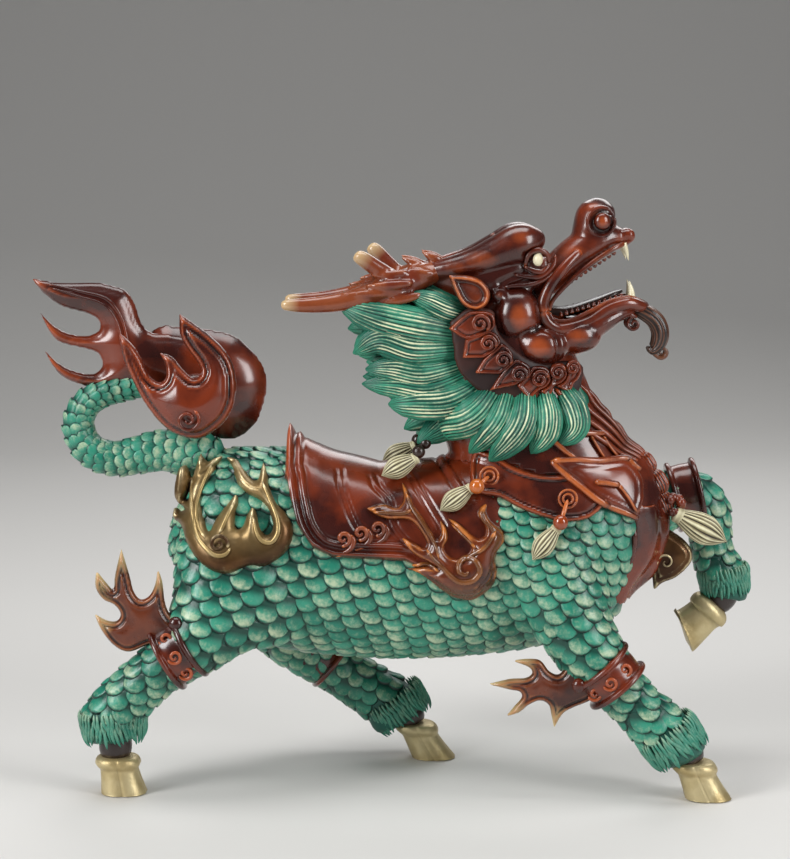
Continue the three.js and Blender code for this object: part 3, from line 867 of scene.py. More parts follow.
# The lacquer's near-black hollows are painted shade, and its orange crest colour is partly a painted
# highlight on the convex forms.
LACQUER = PaintFinish(
    "red_lacquer", "red_lacquer", (0.006, 0.002, 0.0015), (0.040, 0.0055, 0.003), (0.17, 0.024, 0.006),
    (0.46, 0.09, 0.022), brush_and_highlight=0.7, grain=70.0, broken=0.6, rough=(0.2, 0.3), coat=0.4, bump=0.03, cloud=38.0,
)
SCROLL_LACQUER = PaintFinish(
    "scroll_lacquer", "red_lacquer", (0.008, 0.002, 0.0015), (0.040, 0.007, 0.003), (0.14, 0.026, 0.006),
    (0.66, 0.22, 0.045), brush_and_highlight=0.75, grain=120.0, broken=0.6, rough=(0.2, 0.3), coat=0.4, bump=0.04,
    pale=(0.125, 0.040, 0.009),
)
GILT = PaintFinish(
    "pale_gilt", "gold_paint", (0.10, 0.065, 0.03), (0.44, 0.34, 0.16), (0.60, 0.50, 0.28),
    (0.88, 0.78, 0.50), brush_and_highlight=0.6, grain=700.0, broken=0.6, rough=(0.34, 0.5), metallic=0.55,
    crest_metallic=0.6, bump=0.12,
)
BRONZE = PaintFinish(
    "bronze_gilt", "bronze_paint", (0.010, 0.004, 0.002), (0.045, 0.017, 0.005), (0.11, 0.048, 0.014),
    (0.84, 0.70, 0.42), brush_and_highlight=0.95, grain=170.0, broken=0.9, rough=(0.28, 0.42), metallic=0.6,
    crest_metallic=0.7, bump=0.14, pale=(0.36, 0.255, 0.105),
)
CREAM = PaintFinish(
    "cream_tassel", "cream_paint", (0.012, 0.008, 0.005), (0.24, 0.20, 0.10), (0.32, 0.27, 0.15),
    (0.84, 0.80, 0.54), brush_and_highlight=0.95, grain=220.0, broken=0.5, rough=(0.4, 0.5), bump=0.06,
)
AMBER = PaintFinish(
    "amber_bead", "amber_bead", (0.03, 0.006, 0.002), (0.28, 0.045, 0.008), (0.50, 0.12, 0.015),
    (0.9, 0.5, 0.15), brush_and_highlight=0.5, rough=(0.12, 0.2), coat=0.8, bump=0.02,
)
FRINGE_PAINT = PaintFinish(
    "fringe_green", "green_hide", (0.002, 0.02, 0.016), (0.012, 0.16, 0.11), (0.03, 0.24, 0.165),
    (0.42, 0.55, 0.38), brush_and_highlight=0.6, grain=300.0, broken=0.8, rough=(0.35, 0.5),
)
FLAME_PAINT = PaintFinish(
    "flame_bronze", "red_lacquer", (0.008, 0.002, 0.0015), (0.042, 0.007, 0.003), (0.13, 0.026, 0.007),
    (0.44, 0.15, 0.04), brush_and_highlight=0.55, grain=150.0, broken=0.9, rough=(0.24, 0.34), coat=0.35, bump=0.05,
    pale=(0.62, 0.47, 0.22),
)
RIM_LACQUER = PaintFinish(
    "rim_lacquer", "red_lacquer", (0.008, 0.002, 0.0015), (0.07, 0.010, 0.004), (0.17, 0.028, 0.007),
    (0.62, 0.16, 0.035), brush_and_highlight=0.8, grain=130.0, broken=0.7, rough=(0.2, 0.3), coat=0.4, bump=0.03,
)
ANTLER_PAINT = PaintFinish(
    "antler_brown", "red_lacquer", (0.012, 0.004, 0.002), (0.14, 0.022, 0.008), (0.22, 0.05, 0.015),
    (0.55, 0.16, 0.04), brush_and_highlight=0.8, grain=120.0, broken=0.6, rough=(0.2, 0.3), coat=0.4, bump=0.05,
    pale=(0.70, 0.55, 0.30),
)
IVORY = PaintFinish(
    "ivory_paint", "cream_paint", (0.10, 0.07, 0.03), (0.74, 0.66, 0.42), (0.80, 0.74, 0.52),
    (0.92, 0.88, 0.70), brush_and_highlight=0.5, rough=(0.2, 0.3), coat=0.4, bump=0.03,
)
# The collar's ground, whose darkness is partly painted shade under the leaves.
DARK_LACQUER = PaintFinish(
    "dark_lacquer", "red_lacquer", (0.003, 0.001, 0.001), (0.014, 0.0022, 0.0015), (0.035, 0.005, 0.002),
    (0.20, 0.04, 0.012), brush_and_highlight=0.4, grain=70.0, broken=0.6, rough=(0.5, 0.62), coat=0.0, bump=0.03,
)
DARK = PaintFinish(
    "dark_brown", "dark_paint", (0.004, 0.002, 0.002), (0.018, 0.009, 0.007), (0.03, 0.014, 0.01),
    (0.25, 0.09, 0.04), brush_and_highlight=0.5, rough=(0.25, 0.35), coat=0.3, bump=0.05,
)


def piece(shape: Form, name: str, finish: PaintFinish) -> bpy.types.Object:
    """Makes a form a finished piece of the casting, in metres, in the part's frame.

    Args:
        shape: The form in drawing millimetres, which is freed.
        name: The piece's name.
        finish: What it is painted with.

    Returns:
        The piece.
    """
    move = Matrix.Scale(METRES, 4) @ Matrix.Translation((-CENTRE_X, 0, 0))
    bmesh.ops.transform(shape, matrix=move, verts=shape.verts)
    for face in shape.faces:
        face.smooth = True
    made = in_scene(shape, name)
    made.data.materials.append(finish.material())
    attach(made, BODY)
    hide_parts(NODE)
    triangles = sum(len(face.vertices) - 2 for face in made.data.polygons)
    log.info("%s: %d triangles", name, triangles)
    return made


TRUNK = (
    (-99, 120, 0, 0), (-97.5, 119.5, 9, 11), (-94, 118.6, 17, 20.5), (-81, 116.4, 29, 35.5),
    (-60.5, 109.5, 34, 43), (-33.6, 103.6, 34, 44.5), (-6.7, 98.6, 33.5, 41.4), (20, 100.4, 34, 43),
    (47, 106.4, 35, 46.4), (74, 112.7, 34, 44.5), (96.4, 118.6, 28, 38.6), (114, 118.6, 17, 25),
    (120.5, 118.6, 7, 10), (122, 118.6, 0, 0),
)
NECK = (
    (66, 0, 108, 10, 20), (68, 0, 135, 27, 38), (58, 0, 158, 24, 34), (50, 0, 182, 21, 32),
    (47, 0, 203, 19, 27), (46, 0, 218, 12, 16), (46, 0, 224, 0, 0),
)
NEAR_HIND = (
    (-50, 10, 114, 0, 0), (-60, 18, 102, 17, 30), (-71, 23, 90, 17, 32), (-80, 28, 79.5, 16, 21),
    (-88, 31, 70, 14, 15), (-103, 30.5, 58, 10.5, 11), (-118, 27.5, 44, 10.5, 11.5),
    (-125, 25.5, 32.5, 12.5, 14), (-124.5, 25, 26.5, 11.5, 12.5), (-124, 25, 24, 8, 9),
    (-124, 25, 22.5, 0, 0),
)
FAR_HIND = (
    (-60, 10, 108, 0, 0), (-59, 19, 92, 17, 28), (-53, 25, 74, 16, 22), (-43, 30, 58, 13, 16),
    (-24, 33.5, 41.5, 10.5, 11.5), (-5, 34, 28, 10.5, 12.5), (1, 34, 21.5, 12.5, 14),
    (4, 34, 18, 9, 10), (5, 34, 16, 0, 0),
)
NEAR_FORE = (
    (64, 12, 122, 0, 0), (67, 18, 108, 20, 25), (73, 24, 91, 18, 21), (80, 29, 75, 15.5, 16),
    (88, 32, 62, 12.5, 13.5), (104, 34, 44, 10, 10.5), (119, 34, 29, 11.5, 12.5),
    (124.5, 34, 21, 12.5, 13.5), (126, 34, 17, 8, 8), (127, 34, 15, 0, 0),
)
FAR_FORE = (
    (92, 12, 112, 0, 0), (103, 22, 114, 16, 19), (119, 29, 120, 12.5, 14), (133, 33, 125, 10, 12),
    (143, 34, 120, 10, 11.5), (146.5, 34, 110, 9.5, 9.5), (147.5, 34, 99, 9, 9), (152, 34, 88, 10.5, 10.5),
    (154.5, 34, 80, 10.5, 11), (154, 34, 77, 8, 8), (154, 34, 76, 0, 0),
)
TAIL = (
    (-74, 0, 140, 0, 0), (-85, 0, 147, 10, 10), (-103, 0, 150.5, 8.6, 8.6), (-116, 0, 148, 7.6, 7.6),
    (-127, 0, 146.5, 7, 7), (-137.5, 0, 151, 6.6, 6.6), (-142, 0, 161.5, 6.3, 6.3),
    (-138.5, 0, 171, 5.8, 5.8), (-130, 0, 176.3, 5.4, 5.4), (-118, 0, 179, 5, 5), (-108, 0, 181, 4, 4),
    (-104, 0, 181, 0, 0),
)
FLAP_EDGE = (
    (-47.5, 140), (-45.8, 131.6), (-42.4, 120.1), (-35.9, 111.3), (-27.1, 107.3), (-13.6, 106.4),
    (4.4, 107.3), (19.7, 121.5), (30.9, 138.2),
)


def on_side(rows: Sequence[Row], side: Side) -> list[Row]:
    """Rows of x, y, z and sizes moved to a side."""
    return [(row[0], side.value * row[1], *row[2:]) for row in rows]


def point_tree(points: Sequence[Vector]) -> KDTree:
    """A search tree over points.

    Args:
        points: The points.

    Returns:
        The tree, which gives back their numbers.
    """
    tree = KDTree(len(points))
    for i, point in enumerate(points):
        tree.insert(point, i)
    tree.balance()
    return tree


def trunk_section(x: float) -> tuple[float, float, float]:
    """The trunk's middle height, half-width and half-height at a length."""
    table = np.array(TRUNK).T
    return tuple(float(np.interp(x, table[0], column)) for column in table[1:])


@dataclass
class Hide:
    """The body under the scales: trunk, neck and legs run into one skin.

    Attributes:
        voxel: Size of the skin's faces.
        legs: Rows of each leg, on its side.
    """

    voxel: float = 2.1
    legs: dict[str, list[Row]] = field(
        default_factory=lambda: {
            "near_hind": on_side(NEAR_HIND, Side.NEAR),
            "near_fore": on_side(NEAR_FORE, Side.NEAR),
            "far_hind": on_side(FAR_HIND, Side.FAR),
            "far_fore": on_side(FAR_FORE, Side.FAR),
        }
    )

    def skin(self) -> Form:
        """Runs the trunk, the neck and the legs together.

        Returns:
            The skin in drawing millimetres.
        """
        trunk = [(x, 0, z, wide, tall) for x, z, wide, tall in TRUNK]
        bodies = [Sweep(trunk, sides=40, steps=8), Sweep(NECK, sides=36, steps=8)]
        bodies += [Sweep(rows, sides=28, steps=8) for rows in self.legs.values()]
        return fused(swept(bodies), self.voxel, 4)

    def build(self, skin: Form) -> bpy.types.Object:
        """The painted skin, which shows between the scales."""
        return piece(mark_relief(skin.copy()), "hide", HIDE_PAINT)


@dataclass
class ScaleCoat:
    """Overlapping scales laid in staggered rows over a skin, their free edges downwards.

    Attributes:
        row: Length of a scale that shows.
        column: Width of a scale.
        lift: Rise of the free edge.
        crown: Rise of a scale's middle line above its sides.
        overlap: Width of a scale as a share of its column.
        seed: Seed of the small differences between scales.
    """

    row: float = 5.3
    column: float = 7.1
    lift: float = 1.0
    crown: float = 0.7
    overlap: float = 1.2
    seed: int = 7

    SQUARE = 0.55  # the power that draws the blank's points toward its edge
    SPAN = 1.95  # length of a scale, in rows
    TIP = 1.12  # length of the rounded tip, in half-widths
    WALL = 1.1  # depth of the edge's wall
    FLARE = 1.13  # how much wider the wall's foot is than the scale
    CROWD = 0.62  # scales nearer than this share of a row are dropped
    GAP = 1.12  # gaps wider than this share of a row are filled
    STRETCH = (0.7, 1.5)  # least and greatest length, in rows
    SPREAD = (0.7, 1.35)  # least and greatest width, in columns

    def blank(self) -> bpy.types.Mesh:
        """One scale: a grid with a turned-down edge.

        Returns:
            The scale, its points still in shares of its size.
        """
        shape = bmesh.new()
        bmesh.ops.create_grid(shape, x_segments=6, y_segments=5, size=1)
        rim = [edge for edge in shape.edges if edge.is_boundary]
        wall = bmesh.ops.extrude_edge_only(shape, edges=rim)["geom"]
        bmesh.ops.translate(shape, verts=moved_points(wall), vec=(0, 0, -1))
        mesh = bpy.data.meshes.new("scale_blank")
        shape.to_mesh(mesh)
        shape.free()
        return mesh

    def flow(self, place: np.ndarray, normal: np.ndarray) -> np.ndarray:
        """The way that the free edges point: down and back, but along the raised foreleg.

        Args:
            place: Places on the body.
            normal: The body's normal at each.

        Returns:
            A direction in the surface at each place.
        """
        down, fore, shin, breast = (
            np.array(way)
            for way in ((-0.3, 0.0, -1.0), (0.95, 0.0, 0.25), (0.15, 0.0, -1.0), (0.1, 0.0, -1.0))
        )

        def past(values: np.ndarray, start: float, run: float) -> np.ndarray:
            """How far values are past a start, 0 to 1 over a run, one in each row."""
            return np.clip((values - start) / run, 0, 1)[:, None]

        x, y, z = place.T
        arm = past(x, 98, 14) * past(y, 8, 8) * past(z, 74, 6)
        knee = past(x, 132, 14)
        way = down * (1 - arm) + ((1 - knee) * fore + knee * shin) * arm
        front = past(x, 84, 20) * (1 - arm)
        way = way * (1 - front) + breast * front
        way -= (way * normal).sum(axis=1)[:, None] * normal
        return way / np.maximum(np.linalg.norm(way, axis=1), 1e-6)[:, None]

    def measure(
        self, place: np.ndarray, edges: np.ndarray, way: np.ndarray, step: float, kept: np.ndarray
    ) -> np.ndarray:
        """A number on each point that grows by one for each step along the way.

        Args:
            place: The points of the skin.
            edges: Its edges.
            way: The direction of growth at each point.
            step: The distance in which the number grows by one.
            kept: Which edges hold; the rest are cuts.

        Returns:
            The numbers.
        """
        a, b = edges[kept].T
        wanted = (0.5 * (way[a] + way[b]) * (place[b] - place[a])).sum(axis=1) / step
        count = len(place)

        def gathered(flow: np.ndarray) -> np.ndarray:
            """What flows into each point, less what flows out of it."""
            return np.bincount(b, flow, count) - np.bincount(a, flow, count)

        found = np.zeros(count)
        rest = gathered(wanted)
        search, size = rest.copy(), float(rest @ rest)
        for _ in range(900):
            pushed = gathered(search[b] - search[a])
            share = size / max(float(search @ pushed), 1e-12)
            found += share * search
            rest -= share * pushed
            fresh = float(rest @ rest)
            if fresh < 1e-7:
                break
            search = rest + (fresh / size) * search
            size = fresh
        return found

    def cut(self, place: np.ndarray, edges: np.ndarray, legs: Sequence[Sequence[Row]]) -> np.ndarray:
        """Finds the seams that the columns may not cross, on the belly, the throat and inside the legs.

        Args:
            place: The points of the skin.
            edges: Its edges.
            legs: The rows of the legs.

        Returns:
            Whether each edge crosses a seam.
        """
        a, b = place[edges[:, 0]], place[edges[:, 1]]
        crossing = (a[:, 1] * b[:, 1] <= 0) & ((a[:, 2] < 100) | (a[:, 0] > 60))
        middle = 0.5 * (a + b)
        for rows in legs:
            axis = np.array([row[:3] for row in rows])[1:]
            for start, end in zip(axis, axis[1:], strict=False):
                length = np.linalg.norm(end - start)
                way = (end - start) / length
                square = np.array([-way[2], 0, way[0]])
                square /= np.linalg.norm(square)
                share = (middle - start) @ way
                inner = (middle[:, 1] - start[1]) * np.sign(start[1]) < -1.0
                side = middle[:, 1] * np.sign(start[1]) > -0.5
                on = (share > -1) & (share < length + 1) & inner & side
                crossing |= on & (((a - start) @ square) * ((b - start) @ square) <= 0)
        return crossing

    def crossings(
        self, corners: np.ndarray, rows: np.ndarray, columns: np.ndarray
    ) -> list[tuple[Vector, float, float]]:
        """Where the lines of rows and staggered columns cross on one triangle of the skin.

        Args:
            corners: The triangle's corners.
            rows: The measure down the body at each.
            columns: The measure round the body at each.

        Returns:
            The place, the row's length and the column's width of each crossing.
        """
        low, high = math.ceil(rows.min()), math.floor(rows.max())
        slopes = np.array([rows[1:] - rows[0], columns[1:] - columns[0]])
        if low > high or abs(np.linalg.det(slopes)) < 1e-9:
            return []
        inverse = np.linalg.inv(slopes)
        sides = corners[1:] - corners[0]
        found = []
        for line in range(low, high + 1):
            half = 0.5 * (line % 2)
            for file in range(math.ceil(columns.min() - half), math.floor(columns.max() - half) + 1):
                s, t = inverse @ np.array([line - rows[0], file + half - columns[0]])
                if s < 0 or t < 0 or s + t > 1:
                    continue
                gaps = (1 / max(np.linalg.norm(np.linalg.lstsq(sides, slope, rcond=None)[0]), 1e-3)
                        for slope in slopes)
                sizes = (
                    min(max(gap, size * least), size * most)
                    for gap, size, (least, most) in zip(
                        gaps, (self.row, self.column), (self.STRETCH, self.SPREAD), strict=True
                    )
                )
                found.append((Vector(corners[0] + s * sides[0] + t * sides[1]), *sizes))
        return found

    def lattice(
        self, skin: Form, legs: Sequence[Sequence[Row]], bare: Callable[[Vector], bool]
    ) -> list[ScaleSpot]:
        """Where each scale of the body goes.

        Args:
            skin: The body's skin.
            legs: The rows of the legs.
            bare: Tells whether a place is covered, so that it gets no scale.

        Returns:
            The spot of each scale.
        """
        place, normal, edges = arrays(skin)
        for _ in range(6):
            normal = neighbour_mean(normal, edges)
        normal /= np.linalg.norm(normal, axis=1)[:, None]
        way = self.flow(place, normal)
        cut = self.cut(place, edges, legs)
        rows = self.measure(place, edges, way, self.row, np.ones(len(edges), bool))
        columns = self.measure(place, edges, np.cross(normal, way), self.column, ~cut)
        seams = {tuple(sorted(pair)) for pair in edges[cut].tolist()}
        found = []
        for face in skin.faces:
            ring = [vert.index for vert in face.verts]
            for pair in zip(ring[1:], ring[2:], strict=False):
                corner = [ring[0], *pair]
                if any(tuple(sorted((corner[k], corner[k - 1]))) in seams for k in range(3)):
                    continue
                for spot, length, width in self.crossings(place[corner], rows[corner], columns[corner]):
                    if not bare(spot):
                        found.append((spot, Vector(normal[ring[0]]), Vector(way[ring[0]]), length, width))
        return self.filled(found, place, normal, way, bare)

    def filled(
        self,
        found: list[ScaleSpot],
        place: np.ndarray,
        normal: np.ndarray,
        way: np.ndarray,
        bare: Callable[[Vector], bool],
    ) -> list[ScaleSpot]:
        """Drops scales that crowd each other and adds scales where the rows leave a gap.

        Args:
            found: The spots that the rows and columns give.
            place: The points of the skin.
            normal: Its normal at each.
            way: The way of the free edges at each.
            bare: Tells whether a place gets no scale.

        Returns:
            The spots that are kept and added.
        """
        tree = point_tree([item[0] for item in found])
        dropped: set[int] = set()
        kept: list[ScaleSpot] = []
        for i, item in enumerate(found):
            if i not in dropped:
                dropped.update(j for _, j, _ in tree.find_range(item[0], self.row * self.CROWD) if j > i)
                kept.append(item)
        gap = self.row * self.GAP
        tree = point_tree([item[0] for item in kept])
        added: list[Vector] = []
        for index in np.argsort(-place[:, 2]):
            spot = Vector(place[index])
            if tree.find(spot)[2] < gap or bare(spot) or any((spot - other).length < gap for other in added):
                continue
            added.append(spot)
            kept.append((spot, Vector(normal[index]), Vector(way[index]), self.row, self.column))
        return kept

    def lay(self, spots: Sequence[ScaleSpot], carrier: Carrier) -> Form:
        """Lays one scale at each spot, bent to the skin.

        Args:
            spots: Where the scales go.
            carrier: The skin.

        Returns:
            The scales, with their crest, hollow and tint.
        """
        blank = self.blank()
        chance = random.Random(self.seed)
        shape = bmesh.new()
        template = [
            (*(math.copysign(abs(share) ** self.SQUARE, share) for share in vert.co[:2]), vert.co.z)
            for vert in blank.vertices
        ]
        for name in ("crest", "hollow", "tint"):
            paint_layer(shape, name)
        for _ in spots:
            shape.from_mesh(blank)
        bpy.data.meshes.remove(blank)
        shape.verts.ensure_lookup_table()
        crest, hollow, tint = (shape.verts.layers.float[name] for name in ("crest", "hollow", "tint"))
        for number, (root, normal, way, length, width) in enumerate(spots):
            tone = chance.uniform(-0.35, 0.45)
            bright = chance.uniform(0.4, 1.0)
            edged = chance.uniform(0.0, 0.5)
            across = normal.cross(way).normalized()
            way = (way + across * chance.uniform(-0.06, 0.06)).normalized()
            half = 0.5 * width * self.overlap
            span = length * self.SPAN
            end = min(half * self.TIP, span * 0.6)
            for i, (u, v, layer) in enumerate(template):
                ahead = max(v, 0.0)
                aside = u * math.sqrt(1 - ahead * ahead / 2)
                reach = v * (span - end) if v < 0 else ahead * math.sqrt(1 - u * u / 2) * end
                flare = 1.0 if layer >= 0 else self.FLARE
                offset = across * (aside * half * flare) + way * (reach * flare + span / 2 - end)
                base, out = carrier.nearest(root + offset)
                share = min(1.0, max(0.0, (reach + span - end) / span))
                edge = max(abs(u), ahead)
                rim = max(0.0, (edge - 0.6) / 0.4)
                slope = max(0.0, (share - 0.42) / 0.58)
                dome = 1 - u * u
                rise = self.lift * slope**0.8 + self.crown * dome * min(1.0, slope * 2.5) + 0.3 - 0.25 * rim
                vert = shape.verts[number * len(template) + i]
                vert[tint] = tone
                # The wall is dark: partly painted shadow under each free edge, partly dark paint in the
                # recess.
                if layer < 0:
                    vert.co = base + out * (rise - self.WALL)
                    vert[hollow] = 1.0
                    continue
                vert.co = base + out * rise
                # The free edge is dark, partly painted shadow, and the root under the scale above gets
                # painted shade. The crest colour is stronger on the dome's middle and on one side, partly a
                # painted highlight.
                outer = edge > 0.97 and share > 0.4
                vert[hollow] = 0.5 if outer else max(0.0, 0.45 - slope * 3)
                broad = 0.36 + 0.16 * dome - 0.08 * u + edged * rim * ahead
                vert[crest] = 0.12 if outer else bright * broad * min(1, slope * 2.4)
        return shape


def cord(
    points: Sequence[Row],
    radius: float,
    sides: int = 8,
    steps: int = 5,
    across: tuple[float, float, float] = (0, 1, 0),
    taper: float = 0.3,
) -> Sweep:
    """A round cord, drawn thin at both ends.

    Args:
        points: x, y and z of the points that it passes through.
        radius: Its radius.
        sides: Faces round it.
        steps: Rings for each span.
        across: The direction that its section is squared to.
        taper: How gently its ends are rounded off.

    Returns:
        The cord.
    """
    rows = [(*point, radius, radius) for point in points]
    return Sweep(rows, sides=sides, steps=steps, across=across, taper=taper)


def coil(
    centre: Row, radius: float, thick: float, turns: float = 1.6, start: float = 0.0, turn: int = 1,
    dome: float = 0.0,
) -> Sweep:
    """A cord wound flat in the side view, from its rim in to its eye.

    Args:
        centre: x, y and z of the eye.
        radius: Radius of the outermost turn.
        thick: Half the cord's thickness at the rim.
        turns: Number of turns.
        start: Where the rim begins, in degrees from +x toward +z.
        turn: 1 or -1, the way it winds.
        dome: How far the eye stands out in y.

    Returns:
        The cord.
    """
    count = max(8, round(turns * 12))
    rows = []
    for i in range(count + 1):
        share = i / count
        angle = math.radians(start) + turn * share * turns * math.tau
        reach = radius * (1 - 0.93 * share) ** 0.9
        size = thick * (1 - 0.45 * share)
        x, z = centre[0] + reach * math.cos(angle), centre[2] + reach * math.sin(angle)
        rows.append((x, centre[1] + dome * share, z, size, size))
    return Sweep(rows, sides=7, steps=2, taper=0.15)


def turned(start: Vector, end: Vector, radius: float, profile: Sequence[Row]) -> list[Row]:
    """Rows of a round body from one point to another, from rows of share and size."""
    return [(*start.lerp(end, share), radius * size, radius * size) for share, size in profile]


def ball(shape: Form, centre: Row, halves: Row, segments: int = 20) -> None:
    """Adds an oval ball to a mesh.

    Args:
        shape: The mesh.
        centre: The ball's middle.
        halves: Its half-sizes in x, y and z.
        segments: Faces round it.
    """
    matrix = Matrix.Translation(centre[:3]) @ Matrix.Diagonal((*halves, 1.0))
    bmesh.ops.create_uvsphere(
        shape, u_segments=segments, v_segments=max(6, segments // 2), radius=1, matrix=matrix
    )


def joined(parts: Sequence[Form]) -> Form:
    """Puts several forms in one mesh.

    Args:
        parts: The forms, which are freed.

    Returns:
        The mesh.
    """
    shape = bmesh.new()
    for name in ("crest", "hollow", "tint", "pale"):
        paint_layer(shape, name)
    for part in parts:
        carried = bpy.data.meshes.new("part")
        part.to_mesh(carried)
        part.free()
        shape.from_mesh(carried)
        bpy.data.meshes.remove(carried)
    return shape


def flame_outline(corners: Sequence[Row], shift: Row = (0, 0), turn: float = 0.0) -> list[Row]:
    """An outline turned and moved.

    Args:
        corners: The outline.
        shift: How far it moves in x and z.
        turn: How far it turns about its first corner, in degrees.

    Returns:
        The moved outline.
    """
    cos, sin = math.cos(math.radians(turn)), math.sin(math.radians(turn))
    x0, z0 = corners[0][:2]
    moved = []
    for x, z, *sharp in corners:
        dx, dz = x - x0, z - z0
        moved.append((x0 + dx * cos - dz * sin + shift[0], z0 + dx * sin + dz * cos + shift[1], *sharp))
    return moved


def pale_tips(shape: Form, corners: Sequence[Row], reach: float) -> Form:
    """Notes how near each point is to a sharp tip of an outline, where the paint is pale.

    Args:
        shape: The form.
        corners: Its outline.
        reach: How far the pale paint reaches from a tip.

    Returns:
        The same form.
    """
    pale = paint_layer(shape, "pale")
    tips = [row for row in corners if len(row) > 2 and row[2] == 1]
    for vert in shape.verts:
        near = min((math.hypot(vert.co.x - x, vert.co.z - z) for x, z, *_ in tips), default=1e3)
        vert[pale] = max(0.0, 1 - near / reach) ** 0.8
    return shape


@dataclass
class Hooves:
    """Gilt hooves on brown pasterns.

    Attributes:
        length: Toe to heel at the sole.
        width: Side to side at the sole.
        height: Sole to coronet.
        squareness: 2 for oval hooves, more for squarer ones.
    """

    length: float = 20.0
    width: float = 18.0
    height: float = 17.0
    squareness: float = 2.4

    # share of the height, how far the wall is open and size, from the sole up
    PROFILE = (
        (0.0, 0.0, 0.99), (0.02, 0.93, 1.0), (0.05, 1.0, 1.0), (0.14, 1.0, 0.98), (0.35, 1.0, 0.91),
        (0.55, 1.0, 0.86), (0.66, 1.0, 0.85), (0.73, 1.0, 0.93), (0.81, 1.0, 1.0), (0.9, 1.0, 0.98),
        (0.97, 1.0, 0.88), (1.0, 0.8, 0.8), (1.02, 0.0, 0.8),
    )
    # x, z and size of the raised hoof, from its coronet to its sole
    RAISED = (
        (150.4, 74.4, 0.0), (149.8, 73.8, 0.62), (149.0, 73.0, 0.84), (147.9, 71.9, 0.96),
        (146.6, 70.6, 1.0), (145.4, 69.4, 0.97), (144.6, 68.5, 0.86), (143.4, 67.4, 0.85),
        (141, 65.2, 0.88), (138.2, 62.8, 0.93), (136, 61.2, 1.0), (135.2, 60.8, 0.99), (134.9, 60.7, 0.0),
    )
    PASTERNS = (
        ((-124, -25, 29), (-124.2, -25, 22), (-124, -25, 16)),
        ((5, 34, 26), (6.5, 34, 20), (8.5, 34, 15.5)),
        ((126, -34, 26), (128.5, -34, 20), (130.5, -34, 15.5)),
        ((154.6, 34, 84), (153.0, 34, 78), (148.6, 34, 72.6)),
    )
    # x of the coronet, y and how far the sole is ahead
    STANDING = ((-123.5, -25, 3.0), (9.0, 34, 9.5), (131.0, -34, 7.5))

    def standing(self, coronet: float, y: float, lean: float) -> Form:
        """One hoof on the ground.

        Args:
            coronet: x of its coronet.
            y: Its distance from the middle plane.
            lean: How far its sole is ahead of the coronet.

        Returns:
            The hoof.
        """
        curve = sampled(self.PROFILE, 3)
        power = self.squareness
        shape = bmesh.new()

        def place(turn: float, run: float) -> tuple[Vector, float, float]:
            """Bends the grid to the hoof's wall, with a cleft on each side of the toe.

            Args:
                turn: Share of the way round.
                run: Share of the way up.

            Returns:
                The place, with no crest or hollow noted.
            """
            up, opening, size = curve[round(run * (len(curve) - 1))]
            angle = turn * math.tau
            cos, sin = math.cos(angle), math.sin(angle)
            square = (abs(cos) ** power + abs(sin) ** power) ** (-1 / power)
            middle = coronet + lean * max(0.0, 1 - up) ** 1.15
            cleft = 0.06 * bell(math.remainder(angle - 1.5 * math.pi, math.tau), 0, 0.09)
            cleft += 0.05 * bell(math.remainder(angle, math.tau), 0, 0.12)
            size *= max(opening, 0) * (1 - cleft)
            along, aside = cos * square * self.length / 2 * size, sin * square * self.width / 2 * size
            return Vector((middle + along, y + aside, up * self.height)), 0.0, 0.0

        lofted(shape, 64, len(curve) - 1, place)
        return mark_relief(closed(shape))

    def folded(self) -> Form:
        """The raised hoof, its sole toward the tail."""
        y, half_l, half_w = Side.FAR.value * 34, self.length / 2, self.width / 2
        rows = [(x, y, z, half_w * size, half_l * size) for x, z, size in self.RAISED]
        return mark_relief(swept([Sweep(rows, sides=48, steps=4, power=self.squareness)]))

    def build(self) -> None:
        """The four hooves, and the brown pasterns between them and the fetlock hair."""
        hooves = [self.standing(*hoof) for hoof in self.STANDING]
        piece(joined([*hooves, self.folded()]), "hooves", GILT)
        pasterns = [[(*spot, 7.0, 7.4) for spot in leg] for leg in self.PASTERNS]
        piece(swept([Sweep(rows, sides=24, taper=0.12) for rows in pasterns]), "pasterns", DARK)


